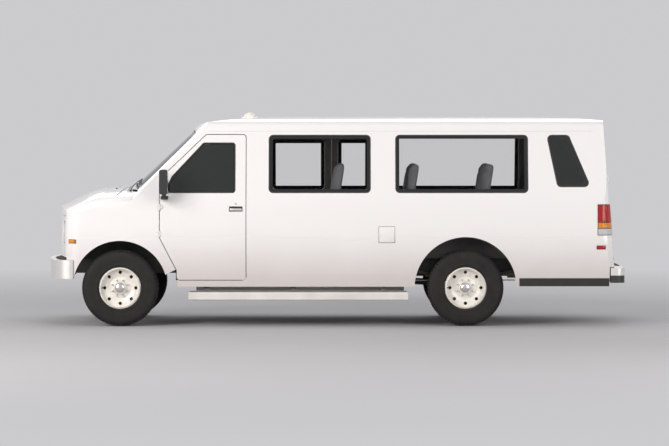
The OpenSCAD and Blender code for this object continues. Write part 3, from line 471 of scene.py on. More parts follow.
side_tint = tinted("side_tint", 0.025, 0.79)
screen_tint = tinted("screen_tint", 0.30)
door_tint = tinted("door_tint", 0.87)
rear_tint = tinted("rear_tint", 0.58)
seal_rubber = grained("seal_rubber", (0.018, 0.018, 0.018), 0.55, 300, 0.0002)
printed = grained("printed_border", (0.012, 0.012, 0.013), 0.20, 900, 0.00002)
screen_lean = math.radians(46.8)
screen_out = (math.cos(screen_lean), 0, math.sin(screen_lean))
screen_up, screen_foot = Vector((-math.sin(screen_lean), 0, math.cos(screen_lean))), Vector((2.092, 0, 1.400))
panes = (("windshield", "body", (screen_out,), 0.052, screen_tint),
         ("side_glass", "body", ((0, 1, 0), (0, -1, 0)), 0.040, side_tint),
         ("driver_door_glass", "driver_door", ((0, 1, 0),), 0.024, door_tint),
         ("passenger_door_glass", "passenger_door", ((0, -1, 0),), 0.024, door_tint),
         ("side_glass_front", "side_door_front", ((0, -1, 0),), 0.040, side_tint),
         ("side_glass_rear", "side_door_rear", ((0, -1, 0),), 0.040, side_tint),
         ("rear_glass_left", "rear_door_left", ((-1, 0, 0),), 0.040, rear_tint),
         ("rear_glass_right", "rear_door_right", ((-1, 0, 0),), 0.040, rear_tint))


def band(node, sides, wide, lift, thick):
    """A frame on a node's panes, along their outlines: its width inward, its lift off them, its thickness."""
    mesh = merged(node)
    rest = [f for f in mesh.faces if max(f.normal.dot(Vector(out)) for out in sides) < pane_facing]
    bmesh.ops.delete(mesh, geom=rest, context="FACES")
    bmesh.ops.remove_doubles(mesh, verts=mesh.verts, dist=sliver)
    pane = BVHTree.FromBMesh(mesh)
    bmesh.ops.dissolve_edges(mesh, edges=[e for e in mesh.edges if len(e.link_faces) == 2], use_verts=False)
    inner = mesh.faces[:]
    bmesh.ops.inset_individual(mesh, faces=inner, thickness=wide, use_even_offset=True)
    bmesh.ops.delete(mesh, geom=inner, context="FACES")
    foot = mesh.verts[:]
    top = bmesh.ops.extrude_face_region(mesh, geom=mesh.faces[:], use_keep_orig=True)["geom"]
    for level, verts in ((lift, foot), (lift + thick, [v for v in top if isinstance(v, bmesh.types.BMVert)])):
        for v in verts:
            on, out, _, _ = pane.find_nearest(v.co)
            v.co = on + out * level
    return mesh


for node, body, sides, border, tint in panes:
    coat(tint, node)
    piece("seal_" + node, band(node, sides, 0.013, 0.0003, 0.006), seal_rubber, body)
    piece("border_" + node, band(node, sides, border, 0.0002, 0.0004), printed, body)

# Edges of the shell: pressed gutters along the roof joints, a header over the windshield, risers and rubber
# seals at the doors, black strips behind the rear wheels that paint the shade under the body's lower edge,
# treads on the boards, and moulded liners in the arches. They are spot-welded, glued or clipped to the
# panels.
def surface_of(*names):
    """The surface of some nodes, to find places on it."""
    mesh = bmesh.new()
    for name in names:
        mesh.from_mesh(nodes[name].data)
    found = BVHTree.FromBMesh(mesh)
    mesh.free()
    return found


skin = surface_of("side_panel_left", "side_panel_right", "roof_panel", "front_body", "hood", "driver_door",
                  "passenger_door", "side_door_front", "side_door_rear", "rear_door_left", "rear_door_right")


def on_side(x, z, side, start=1.4):
    """The place and outward direction of a flank at x and z. A start of 0 finds the inner face."""
    at, out, _, _ = skin.ray_cast(Vector((x, side * start, z)), Vector((0, -side if start else side, 0)))
    return at, out


def on_tail(y, z):
    at, out, _, _ = skin.ray_cast(Vector((-3.2, y, z)), Vector((1, 0, 0)))
    return at, out


def on_top(x, y):
    at, out, _, _ = skin.ray_cast(Vector((x, y, 2.6)), Vector((0, 0, -1)))
    return at, out


def seated(found, ahead=(1, 0, 0)):
    """A place on the skin as a matrix: X along, Y across and Z outward."""
    at, out = found
    out = out.normalized()
    along = (Vector(ahead) - out * out.dot(Vector(ahead))).normalized()
    return Matrix.Translation(at) @ Matrix((along, out.cross(along), out)).transposed().to_4x4()


def strip(mesh, found, wide, thick, sink=0.001, taper=0.8):
    """A bar along places on a surface: its width across the path, its thickness outward."""
    last = None
    for i, (at, out) in enumerate(found):
        ahead = (found[min(i + 1, len(found) - 1)][0] - found[max(i - 1, 0)][0]).normalized()
        across = out.cross(ahead).normalized() * (wide / 2)
        foot, top = at - out * sink, at + out * thick
        narrow = across * taper
        ring = [mesh.verts.new(c) for c in (foot - across, foot + across, top + narrow, top - narrow)]
        edges = [mesh.edges.new((ring[k], ring[k - 1])) for k in range(4)]
        if last:
            bmesh.ops.bridge_loops(mesh, edges=last + edges)
        else:
            mesh.faces.new(ring)
        last = edges
    mesh.faces.new(ring)


def span(first, last, steps):
    return [first + (last - first) * i / steps for i in range(steps + 1)]


def ribbed(name, ribs, patch, grain, dark, worn):
    """Rubber matting with ribs that run along the van, greyer where feet wear it."""
    made = Finish(name, Specular_IOR_Level=0.3)
    made.feed("Base Color", made.blend(made.noise(patch, 4), dark, worn))
    made.feed("Roughness", made.between(made.noise(grain), 0, 1, 0.6, 0.85))
    made.relief(made.waves(ribs, profile="TRI"), 0.002)
    return made


black_plastic = grained("black_plastic", (0.028, 0.028, 0.029), 0.48, 600, 0.0003)
step_rubber = ribbed("step_rubber", 32.0, 7, 60, (0.03, 0.03, 0.03, 1), (0.07, 0.065, 0.06, 1))

gutter_z, sill_z, board_y = 1.981, 0.446, 0.925
riser_y, riser_low, riser_top, riser_t = 0.9315, 0.4635, 0.6795, 0.002
mesh = bmesh.new()
for side in (1, -1):
    strip(mesh, [on_side(x, gutter_z, side) for x in span(-2.60, 1.28, 30)], 0.014, 0.007)
piece("roof_gutters", mesh, white_paint, "body")
mesh = bmesh.new()
header, bow = screen_foot + screen_up * 0.900, 9
out = Vector(screen_out)
row = [(header + Vector((0, y, 0)) - out * (y * y / bow + 0.0025), out) for y in span(-0.72, 0.72, 24)]
strip(mesh, row, 0.040, 0.0, sink=0.008, taper=1.0)
piece("windshield_header", mesh, white_paint, "body")
mesh = bmesh.new()
for side, x0, x1 in ((1, 0.940, 1.610), (-1, 0.940, 1.610), (-1, -0.425, 0.725)):
    block(mesh, (x0, side * riser_y - riser_t, riser_low), (x1, side * riser_y + riser_t, riser_top))
piece("sill_risers", mesh, black_plastic, "body")
# The black strips along the lower edge behind the rear wheels are painted shade. They stand for the shadow
# under the body there.
mesh = bmesh.new()
for side in (1, -1):
    strip(mesh, [on_side(x, sill_z, side) for x in span(-2.785, -1.875, 6)], 0.084, 0.004, taper=0.96)
piece("rear_shade_strips", mesh, black_plastic, "body")

split_x, past_edge, lip_back, lip_w = 0.032, 0.008, 0.006, 0.0032
leaves = (("side_door_front", 1), ("side_door_rear", -1), ("rear_door_left", 1), ("rear_door_right", -1))
for body, way in leaves:
    if body.startswith("side"):
        row = [on_side(split_x + way * past_edge, z, -1) for z in span(0.476, 1.934, 28)]
        back = (way * lip_back, 0, 0)
    else:
        row, back = [on_tail(way * past_edge, z) for z in span(0.616, 1.944, 28)], (0, way * lip_back, 0)
    mesh = bmesh.new()
    strip(mesh, [(at - Vector(back), out) for at, out in row], lip_w, -0.006, sink=0.014, taper=1.0)
    piece("door_lip_" + body[10:], mesh, seal_rubber, body)
mesh = bmesh.new()
for side, x0, x1 in ((1, 0.895, 1.290), (-1, 0.895, 1.290), (-1, -0.445, 0.745)):
    row = [on_side(x, 1.953, side, 0) for x in span(x0, x1, 12)]
    strip(mesh, [(at - Vector((0, 0, 0.009)), out) for at, out in row], 0.020, 0.005, sink=0.0, taper=0.9)
row = [skin.ray_cast(Vector((-2.4, y, 1.964)), Vector((-1, 0, 0)))[:2] for y in span(-0.800, 0.800, 24)]
strip(mesh, [(at - Vector((0, 0, 0.010)), out) for at, out in row], 0.022, 0.005, sink=0.0, taper=0.9)
piece("door_seals", mesh, seal_rubber, "body")

mesh = bmesh.new()
for side in (1, -1):
    block(mesh, (-0.730, side * board_y - 0.050, 0.3495), (1.465, side * board_y + 0.040, 0.3535), 0.0015, 1)
piece("board_treads", mesh, step_rubber, "body")
mesh = bmesh.new()
for side in (1, -1):
    for x, r, y0, y1, first in ((front_x, 0.486, 0.690, 0.925, 0.28), (front_x, 0.486, 0.506, 0.690, 0.60),
                                (rear_x, 0.514, 0.930, 0.962, 0.45)):
        ahead, up = x + r * math.cos(first), axle_z + r * math.sin(first)
        start = [mesh.verts.new((ahead, side * y, up)) for y in (y0, y1)]
        bmesh.ops.spin(mesh, geom=start + [mesh.edges.new(start)], cent=(x, 0, axle_z), axis=(0, -1, 0),
                       angle=math.pi - 2 * first, steps=32)
liner_t, apron_y = 0.003, 0.5045
bmesh.ops.recalc_face_normals(mesh, faces=mesh.faces)
bmesh.ops.solidify(mesh, geom=mesh.faces[:], thickness=liner_t)
for side in (1, -1):
    y0, y1 = side * apron_y - liner_t / 2, side * apron_y + liner_t / 2
    block(mesh, (1.750, y0, 0.665), (2.600, y1, 0.8545))
    block(mesh, (2.044, y0, 0.854), (2.306, y1, 0.874))
piece("arch_liners", mesh, black_plastic, "body")

# Door fittings: a bright lift handle in a dark dish and a key barrel on each leaf that opens first, a pressed
# fuel flap in the left side, and amber and red marker lamps screwed on low at the corners.
bright = grained("satin_bright", (0.80, 0.785, 0.765), 0.30, 600, 0.00002, spread=0.05, patch=4,
                 worn=(0.74, 0.72, 0.695, 1), Metallic=0.75)


def turned(mesh, line, place, at=(0, 0, 0), steps=32, closed=False):
    """Spins a line of (radius, height) pairs on a seated place."""
    lathe(mesh, line, place @ Vector(at), place.to_3x3() @ Vector((0, 0, 1)), steps, closed)


def handle(name, body, place):
    mesh = bmesh.new()
    block(mesh, (-0.068, -0.026, -0.001), (0.068, 0.026, 0.0025), 0.0012, 1, place)
    piece("handle_dish_" + name, mesh, black_plastic, body)
    mesh = bmesh.new()
    block(mesh, (-0.060, -0.004, 0.006), (0.060, 0.018, 0.016), 0.004, 3, place)
    for x in (-0.052, 0.052):
        block(mesh, (x - 0.007, -0.003, 0.001), (x + 0.007, 0.012, 0.010), 0.002, 2, place)
    piece("handle_" + name, mesh, bright, body)
    mesh = bmesh.new()
    turned(mesh, [(0, 0.004), (0.004, 0.004), (0.0045, 0.003), (0.010, 0.003), (0.011, 0.0), (0.011, -0.002)],
           place, (0.0, -0.052, 0.0), 24)
    piece("key_barrel_" + name, mesh, chrome, body, closed=False)


handle_z = 1.19
handle("driver", "driver_door", seated(on_side(1.00, handle_z, 1)))
handle("passenger", "passenger_door", seated(on_side(1.00, handle_z, -1)))
handle("side", "side_door_front", seated(on_side(0.125, handle_z, -1)))
handle("rear", "rear_door_right", seated(on_tail(-0.105, 1.13), (0, 1, 0)))
mesh = bmesh.new()
place = seated(on_side(-0.53, 0.93, 1))
block(mesh, (-0.083, -0.083, -0.001), (0.083, 0.083, 0.0006), place=place)
piece("fuel_flap_gap", mesh, seal_rubber, "body")
mesh = bmesh.new()
block(mesh, (-0.079, -0.079, -0.001), (0.079, 0.079, 0.0022), 0.0009, 2, place)
block(mesh, (0.056, -0.012, 0.001), (0.072, 0.012, 0.0032), 0.0008, 2, place)
piece("fuel_flap", mesh, white_paint, "body")


def lens_finish(name, shade, alpha):
    made = Finish(name, Base_Color=shade, Roughness=0.06, IOR=1.5, Alpha=alpha)
    made.relief(made.waves(30.0), 0.0015)
    return made


clear_lens = lens_finish("clear_lens", (0.86, 0.87, 0.88, 1), 0.28)
red_lens = lens_finish("red_lens", (0.42, 0.012, 0.010, 1), 0.94)
amber_lens = lens_finish("amber_lens", (0.80, 0.26, 0.02, 1), 0.92)
for name, x, z, finish, slot in (("front", 2.66, 0.86, amber_lens, "clear_lamp"),
                                 ("rear", -2.70, 0.80, red_lens, "red_lamp")):
    mesh, foot = bmesh.new(), bmesh.new()
    for side in (1, -1):
        place = seated(on_side(x, z, side))
        block(foot, (-0.046, -0.020, -0.001), (0.046, 0.020, 0.004), 0.0015, 2, place)
        block(mesh, (-0.041, -0.015, 0.002), (0.041, 0.015, 0.010), 0.003, 3, place)
    piece("marker_foot_" + name, foot, black_plastic, "body")
    piece("marker_" + name, mesh, finish, "body")

# Wipers and cowl: two sprung arms with rubber blades parked on the lower edge of the windshield, black slots
# in the cowl under them, and washer jets clipped into the hood.
mesh = bmesh.new()
for y0, y1 in ((-0.70, -0.02), (0.02, 0.70)):
    for x in (2.094, 2.106, 2.118):
        strip(mesh, [on_top(x, y) for y in span(y0, y1, 8)], 0.006, 0.0016)
piece("cowl_slots", mesh, black_plastic, "body")
screen = surface_of("windshield")
screen_rim = 0.05


def on_screen(y, rise):
    """A place on the windshield: the distance up the glass from its lower edge."""
    start = screen_foot + Vector((0, y, 0)) + screen_up * (screen_rim + rise)
    out = Vector(screen_out)
    at, face, _, _ = screen.ray_cast(start + out * 0.4, -out)
    return at, face


arms, blades, jets = bmesh.new(), bmesh.new(), bmesh.new()
for pivot, tip in ((0.62, 0.08), (-0.06, -0.60)):
    foot, out = on_top(2.085, pivot)
    lathe(arms, [(0.0, 0.016), (0.008, 0.015), (0.011, 0.010), (0.013, 0.0), (0.013, -0.003)], foot, out, 20)
    middle = (pivot + tip) / 2
    grip, lift = on_screen(middle, 0.055)
    elbow = foot * 0.6 + grip * 0.4 + lift * 0.022
    strip(arms, [(foot + out * 0.006, out), (elbow, lift), (grip + lift * 0.020, lift)], 0.011, 0.005,
          taper=0.7)
    row = [on_screen(y, 0.040 + 0.030 * i / 8) for i, y in enumerate(span(pivot - 0.10, tip - 0.06, 8))]
    strip(blades, [(at + normal * 0.002, normal) for at, normal in row], 0.008, 0.012, sink=0.001, taper=0.45)
piece("wiper_arms", arms, black_plastic, "body")
piece("wiper_blades", blades, seal_rubber, "body")
for y in (-0.28, 0.28):
    foot, out = on_top(2.25, y)
    lathe(jets, [(0.0, 0.008), (0.005, 0.007), (0.009, 0.002), (0.010, -0.001)], foot, out, 16)
piece("washer_jets", jets, black_plastic, "hood")

# Lamps, grille and bumpers: bowls behind clear lenses, red tail lamps with an amber band and a clear foot, a
# bright grille before the radiator, a lamp on the roof, and pressed steel bumpers bolted to the rails in a
# satin bright coat, the rear one dark below and with rubber on its step.
coat(bright, "grille")
panel("front_bumper", "body", finish=(bright,))
beacon_lens = grained("beacon_lens", (0.86, 0.81, 0.73), 0.14, 300, 0.00001, spread=0.06, patch=12,
                      Coat_Weight=0.6, Coat_Roughness=0.05)
beacon_at = (0.884, 0, 2.090)
mesh, foot = bmesh.new(), bmesh.new()
lathe(mesh, [(0.0, 0.030), (0.057, 0.030), (0.057, 0.044), (0.054, 0.054), (0.047, 0.064), (0.036, 0.071),
             (0.020, 0.0755), (0.0, 0.077)], beacon_at, (0, 0, 1), 48)
lathe(foot, [(0.0, 0.018), (0.084, 0.018), (0.085, 0.020), (0.085, 0.031), (0.081, 0.035), (0.063, 0.038),
             (0.060, 0.036), (0.0, 0.036)], beacon_at, (0, 0, 1), 56)
dome = piece("beacon_dome", mesh, beacon_lens, "body")
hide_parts("roof_beacon")
piece("beacon_foot", foot, white_paint, "body")
board_paint = grained("board_paint", (0.80, 0.775, 0.75), 0.36, 300, 0.0001, spread=0.08, patch=3,
                      worn=(0.66, 0.62, 0.58, 1), Coat_Weight=0.3, Coat_Roughness=0.2)
coat(board_paint, "running_boards")
two_tone = grained("two_tone_bumper", (0.78, 0.765, 0.745), 0.32, 600, 0.00002, spread=0.05, patch=4)
two_tone_z = 0.515
low = two_tone.between(two_tone.height(), two_tone_z - 0.002, two_tone_z + 0.002)
pale = two_tone.shader.inputs["Base Color"].links[0].from_socket
two_tone.feed("Base Color", two_tone.blend(low, (0.03, 0.03, 0.03, 1), Wire(two_tone, pale)))
two_tone.feed("Metallic", low * 0.7)
panel("rear_bumper", "body", finish=(two_tone,))


def on_corner(side, z, turn):
    """The place on a rear corner seen from a point inside it, turned from straight out to straight back."""
    away_from = Vector((-math.sin(turn), side * math.cos(turn), 0))
    at, out, _, _ = skin.ray_cast(Vector((-2.66, side * 0.80, z)) + away_from * 0.6, -away_from)
    return at, out


clear_foot = lens_finish("reverse_lens", (0.62, 0.61, 0.60, 1), 0.9)
base = bmesh.new()
for name, z0, z1, finish in (("clear", 0.928, 0.990, clear_foot), ("amber", 0.996, 1.050, amber_lens),
                             ("red", 1.056, 1.232, red_lens)):
    mesh = bmesh.new()
    tall = z1 - z0
    for side in (1, -1):
        for made, first, last, wide, thick in ((base, 0.02, 1.33, tall + 0.012, 0.0035),
                                               (mesh, 0.05, 1.31, tall, 0.0078)):
            row = [on_corner(side, (z0 + z1) / 2, turn) for turn in span(first, last, 18)]
            strip(made, row, wide, thick, sink=0.006, taper=0.98)
    lens = piece("tail_lamp_" + name, mesh, finish, "body")
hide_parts("tail_lamps")
piece("tail_lamp_base", base, black_plastic, "body")

mesh = merged("headlamps")
bmesh.ops.delete(mesh, geom=[f for f in mesh.faces if f.normal.x < 0.6], context="FACES")
bmesh.ops.solidify(mesh, geom=mesh.faces[:], thickness=0.004)
lenses = piece("headlamp_lenses", mesh, clear_lens, "body", closed=False)
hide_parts("headlamps")
lamp_in, lamp_out, lamp_low, lamp_top = 0.527, 0.788, 0.837, 1.058
lamp_y, lamp_half, box_x, wall_t = 0.6575, 0.129, 2.700, 0.004
bowls, boxes, bulbs, blinkers = bmesh.new(), bmesh.new(), bmesh.new(), bmesh.new()
for side in (1, -1):
    y0, y1 = side * lamp_y - lamp_half, side * lamp_y + lamp_half
    for z in (lamp_low + wall_t, lamp_top - wall_t):
        block(boxes, (box_x, y0, z - wall_t), (2.752, y1, z + wall_t))
    for y in (lamp_in + wall_t, 0.716, lamp_out - wall_t):
        block(boxes, (box_x, side * y - 0.003, lamp_low), (2.744, side * y + 0.003, lamp_top))
    block(boxes, (box_x - 0.006, y0, lamp_low), (box_x, y1, lamp_top))
    centre = (2.703, side * 0.622, 0.9475)
    lathe(bowls, [(0.012, 0.002), (0.040, 0.006), (0.066, 0.018), (0.082, 0.036), (0.088, 0.048),
                  (0.091, 0.048), (0.091, 0.044), (0.085, 0.034), (0.068, 0.015), (0.041, 0.003),
                  (0.012, 0.0)], centre, (1, 0, 0), 40, closed=True)
    lathe(bulbs, [(0.0, 0.034), (0.005, 0.033), (0.007, 0.029), (0.007, 0.008), (0.012, 0.006), (0.012, 0.0)],
          centre, (1, 0, 0), 20)
    block(blinkers, (2.704, side * 0.752 - 0.031, lamp_low + 0.010),
          (2.722, side * 0.752 + 0.031, lamp_top - 0.010), 0.004, 2)
piece("headlamp_boxes", boxes, black_plastic, "body")
piece("headlamp_bowls", bowls, chrome, "body")
piece("headlamp_bulbs", bulbs, clear_lens, "body")
piece("turn_lamps", blinkers, amber_lens, "body")

mesh = bmesh.new()
for y0, y1 in ((-0.43, -0.03), (0.03, 0.43)):
    block(mesh, (-2.939, y0, 0.5895), (-2.892, y1, 0.5935), 0.0015, 1)
piece("bumper_step", mesh, step_rubber, "body")
mesh = bmesh.new()
place = seated(on_tail(0.0, 1.965), (0, 1, 0))
block(mesh, (-0.145, -0.012, -0.001), (0.145, 0.012, 0.016), 0.004, 2, place)
piece("high_stop_lamp", mesh, red_lens, "body")

# Mirrors: black moulded heads bolted to the door skins, each with a flat mirror and a small wide-angle one
# under it, silvered glass held in black rims.
mirror_silver = grained("mirror_silver", (0.86, 0.87, 0.88), 0.04, 500, 0.00001, spread=0.03, Metallic=1.0)
coat(black_plastic, "mirror_left", "mirror_right")
mirror_x, mirror_y, glass_half, rim_half = 1.679, 1.150, 0.066, 0.074
for name, side, body in (("left", 1, "driver_door"), ("right", -1, "passenger_door")):
    mesh = bmesh.new()
    y = side * mirror_y
    for z0, z1 in ((1.412, 1.580), (1.350, 1.402)):
        block(mesh, (mirror_x - 0.0015, y - glass_half, z0), (mirror_x + 0.0015, y + glass_half, z1),
              0.0012, 2)
    piece("mirror_glass_" + name, mesh, mirror_silver, body)
    mesh = bmesh.new()
    for z0, z1 in ((1.403, 1.411), (1.345, 1.350), (1.583, 1.588)):
        block(mesh, (mirror_x - 0.0035, y - rim_half, z0), (mirror_x + 0.0025, y + rim_half, z1), 0.002, 2)
    piece("mirror_rims_" + name, mesh, black_plastic, body)

# Engine dressing: a black round air cleaner on the block, ribbed cast valve covers, a belt drive with its
# fan, rubber hoses to the radiator, and a battery on a tray over the left front arch.
mesh = bmesh.new()
lathe(mesh, [(0.0, 0.078), (0.012, 0.078), (0.014, 0.070), (0.150, 0.066), (0.163, 0.060), (0.166, 0.050),
             (0.166, 0.018), (0.160, 0.010), (0.085, 0.006), (0.080, -0.001), (0.0, -0.001)],
      (2.02, 0, 1.021), (0, 0, 1), 56)
block(mesh, (2.10, -0.115, 1.034), (2.30, -0.045, 1.078), 0.012, 3)
piece("air_cleaner", mesh, black_plastic, "body")
mesh = bmesh.new()
for y in (0.212, -0.212):
    block(mesh, (1.93, y - 0.036, 1.0185), (2.20, y + 0.036, 1.050), 0.012, 3)
    for i in range(6):
        x = 1.952 + i * 0.042
        block(mesh, (x, y - 0.024, 1.048), (x + 0.008, y + 0.024, 1.055), 0.002, 1)
    rod(mesh, (2.17, y, 1.048), (2.17, y, 1.068), 0.018, 20)
piece("valve_covers", mesh, engine_iron, "body")
mesh, belt = bmesh.new(), bmesh.new()
for y, z, r in ((0.0, 0.700, 0.080), (0.0, 0.890, 0.070), (0.185, 0.900, 0.042), (-0.185, 0.860, 0.060)):
    lathe(mesh, [(0.0, 0.052), (0.020, 0.052), (0.022, 0.040), (r - 0.012, 0.036), (r, 0.044), (r, 0.038),
                 (r - 0.006, 0.030), (r, 0.022), (r, 0.016), (0.022, 0.012), (0.022, -0.002)],
          (2.210, y, z), (1, 0, 0), 36)
piece("pulleys", mesh, bare_steel, "body")
course = [(0.0, 0.620), (0.080, 0.690), (0.226, 0.895), (0.185, 0.941), (0.0, 0.958), (-0.185, 0.919),
          (-0.245, 0.860), (-0.078, 0.690), (0.0, 0.620)]
belt_x, belt_half, belt_t = 2.240, 0.010, 0.002
for (y0, z0), (y1, z1) in zip(course, course[1:]):
    middle, run = Vector((belt_x, (y0 + y1) / 2, (z0 + z1) / 2)), Vector((0, y1 - y0, z1 - z0))
    turn = Matrix.Translation(middle) @ Vector((0, 1, 0)).rotation_difference(run).to_matrix().to_4x4()
    reach = run.length / 2 + belt_t
    block(belt, (-belt_half, -reach, -belt_t), (belt_half, reach, belt_t), place=turn)
piece("drive_belt", belt, seal_rubber, "body")
fan_z, fan_blades, blade_twist = 0.890, 7, 0.5
mesh = bmesh.new()
rod(mesh, (2.258, 0, fan_z), (2.330, 0, fan_z), 0.028, 24)
fan_at = Matrix.Translation((2.315, 0, fan_z))
for i in range(fan_blades):
    turn = fan_at @ Matrix.Rotation(math.tau * i / fan_blades, 4, "X") @ Matrix.Rotation(blade_twist, 4, "Z")
    block(mesh, (-0.0015, -0.030, 0.022), (0.0015, 0.030, 0.190), place=turn)
piece("cooling_fan", mesh, black_plastic, "body")


def hose(mesh, points, radius, steps=14):
    """A round hose along a smooth curve through points."""
    curve = bpy.data.curves.new("hose", "CURVE")
    curve.dimensions, curve.bevel_depth, curve.bevel_resolution, curve.resolution_u = "3D", radius, 3, steps
    curve.use_fill_caps = True
    run = curve.splines.new("BEZIER")
    run.bezier_points.add(len(points) - 1)
    for knot, at in zip(run.bezier_points, points):
        knot.co, knot.handle_left_type, knot.handle_right_type = at, "AUTO", "AUTO"
    drawn = bpy.data.objects.new("hose", curve)
    scene.collection.objects.link(drawn)
    data = bpy.data.meshes.new_from_object(drawn.evaluated_get(bpy.context.evaluated_depsgraph_get()))
    mesh.from_mesh(data)
    bpy.data.objects.remove(drawn)
    bpy.data.curves.remove(curve)
    bpy.data.meshes.remove(data)


mesh = bmesh.new()
hose(mesh, [(2.700, 0.300, 1.020), (2.600, 0.300, 1.035), (2.450, 0.230, 1.020), (2.320, 0.120, 0.985),
            (2.205, 0.090, 0.975)], 0.021)
hose(mesh, [(2.700, -0.300, 0.800), (2.600, -0.310, 0.790), (2.450, -0.290, 0.760), (2.300, -0.240, 0.740),
            (2.205, -0.200, 0.735)], 0.021)
hose(mesh, [(1.905, 0.200, 1.150), (1.960, 0.210, 1.140), (2.020, 0.235, 1.090),
            (2.030, 0.240, 1.045)], 0.010)
piece("engine_hoses", mesh, seal_rubber, "body")
mesh = bmesh.new()
block(mesh, (2.400, 0.560, 0.868), (2.570, 0.735, 1.040), 0.006, 2)
block(mesh, (2.395, 0.555, 1.036), (2.575, 0.740, 1.056), 0.005, 2)
piece("battery", mesh, black_plastic, "body")
mesh = bmesh.new()
for y in (0.600, 0.695):
    rod(mesh, (2.430, y, 1.055), (2.430, y, 1.070), 0.009, 16)
block(mesh, (2.385, 0.495, 0.855), (2.585, 0.950, 0.868), 0.003, 1)
piece("battery_tray", mesh, chassis_black, "body")

# Shock absorbers and brake line: black steel tubes bolted through behind the rear axle and in front of the
# front beams, and a steel pipe clipped along the left rail to the rear axle.
mesh, shine = bmesh.new(), bmesh.new()
for x0, z0, x1, z1, y in ((rear_x - 0.085, 0.360, rear_x - 0.235, 0.640, 0.515),
                          (front_x + 0.120, 0.400, front_x + 0.120, 0.640, 0.640)):
    for side in (1, -1):
        low, high = Vector((x0, side * y, z0)), Vector((x1, side * y, z1))
        rod(mesh, low, low.lerp(high, 0.55), 0.024, 20)
        rod(mesh, low.lerp(high, 0.50), high, 0.028, 20)
        eye = Vector((0, side * 0.030, 0))
        rod(shine, high - Vector((0, side * 0.035, 0)), high + eye, 0.010, 14)
        rod(shine, low - eye, low + eye, 0.010, 14)
piece("shock_absorbers", mesh, chassis_black, "body")
piece("shock_bolts", shine, bare_steel, "body")
mesh = bmesh.new()
hose(mesh, [(2.30, 0.425, 0.640), (1.50, 0.425, 0.648), (0.40, 0.425, 0.640), (-0.80, 0.425, 0.648),
            (-1.20, 0.425, 0.600), (-1.32, 0.400, 0.450)], 0.004)
piece("brake_line", mesh, bare_steel, "body")

# Cabin: ribbed rubber matting over the floor, and a moulded dashboard in warm grey with a hooded cluster,
# vents, a radio stack, a glove box, pedals and a lever on the column.
floor_mat = ribbed("floor_mat", 26.0, 5, 40, (0.055, 0.055, 0.055, 1), (0.11, 0.105, 0.10, 1))
interior = grained("interior_plastic", (0.30, 0.28, 0.25), 0.55, 650, 0.0004, spread=0.10)
coat(floor_mat, "floor_pan")
coat(interior, "dashboard", "engine_cover")
coat(black_plastic, "fuel_tank", "steering_wheel")
dash = surface_of("dashboard")


def on_dash(y, z):
    at, out, _, _ = dash.ray_cast(Vector((1.2, y, z)), Vector((1, 0, 0)))
    return seated((at, out), (0, 1, 0))


mesh, dials, rings, slats = bmesh.new(), bmesh.new(), bmesh.new(), bmesh.new()
place = on_dash(0.47, 1.250)
block(mesh, (-0.200, -0.062, -0.010), (0.200, 0.062, 0.010), 0.008, 3, place)
block(mesh, (-0.205, 0.052, -0.010), (0.205, 0.076, 0.050), 0.010, 3, place)
for y, r in ((-0.125, 0.030), (-0.045, 0.042), (0.055, 0.042), (0.135, 0.030)):
    centre = (y, -0.004, 0.0)
    turned(dials, [(0.0, 0.0112), (r - 0.003, 0.0112), (r - 0.003, 0.008)], place, centre)
    turned(rings, [(r - 0.003, 0.009), (r - 0.002, 0.013), (r, 0.013), (r + 0.001, 0.009)], place, centre,
           closed=True)
    turn = place @ Matrix.Translation((y, -0.004, 0.012)) @ Matrix.Rotation(0.8, 4, "Z")
    block(rings, (-0.0012, -0.006, 0.0), (0.0012, r - 0.008, 0.0012), place=turn)
place = on_dash(0.03, 1.190)
block(mesh, (-0.105, -0.062, -0.006), (0.105, 0.070, 0.008), 0.006, 3, place)
block(dials, (-0.085, 0.022, 0.006), (0.085, 0.056, 0.0105), 0.002, 2, place)
for x, y, r in ((-0.070, 0.039, 0.010), (0.070, 0.039, 0.010), (-0.045, -0.030, 0.016), (0.0, -0.030, 0.016),
                (0.045, -0.030, 0.016)):
    turned(rings, [(0.0, 0.014), (r * 0.8, 0.014), (r, 0.010), (r, -0.002)], place, (x, y, 0.008), 24)
for y in (0.78, 0.20, -0.16, -0.78):
    place = on_dash(y, 1.290)
    block(mesh, (-0.062, -0.030, -0.006), (0.062, 0.030, 0.005), 0.004, 2, place)
    for i in range(5):
        turn = place @ Matrix.Translation((0, -0.020 + i * 0.010, 0.006)) @ Matrix.Rotation(0.5, 4, "X")
        block(slats, (-0.055, -0.004, -0.0008), (0.055, 0.004, 0.0008), place=turn)
place = on_dash(-0.47, 1.190)
block(slats, (-0.180, -0.060, -0.004), (0.180, 0.062, 0.007), 0.005, 3, place)
block(rings, (-0.030, 0.034, 0.006), (0.030, 0.046, 0.014), 0.003, 2, place)
piece("dash_trim", mesh, black_plastic, "body")
piece("dash_dials", dials, printed, "body", closed=False)
piece("dash_rings", rings, bright, "body", closed=False)
piece("dash_slats", slats, interior, "body")
mesh = bmesh.new()
for y, z, w in ((0.36, 0.870, 0.030), (0.52, 0.880, 0.038), (0.66, 0.890, 0.030)):
    block(mesh, (1.745, y - w, z - 0.030), (1.757, y + w, z + 0.030), 0.004, 2)
    rod(mesh, (1.752, y, z + 0.010), (1.855, y, 1.120), 0.008, 12)
piece("pedals", mesh, seal_rubber, "body")
rake = math.radians(35)
shaft = Vector((math.cos(rake), 0, -math.sin(rake)))
wheel_at = Vector((1.55, 0.47, 1.235))
mesh = bmesh.new()
for down, reach, r in ((0.075, (-0.03, 0.190, 0.045), 0.007), (0.095, (-0.03, -0.180, 0.070), 0.008)):
    rod(mesh, wheel_at + shaft * down, wheel_at + shaft * down + Vector(reach), r, 12)
piece("column_levers", mesh, black_plastic, "body")
mesh = bmesh.new()
lathe(mesh, [(0.0, 0.022), (0.030, 0.020), (0.046, 0.012), (0.050, 0.0), (0.050, -0.004)],
      wheel_at, -shaft, 32)
piece("horn_pad", mesh, interior, "steering_wheel")

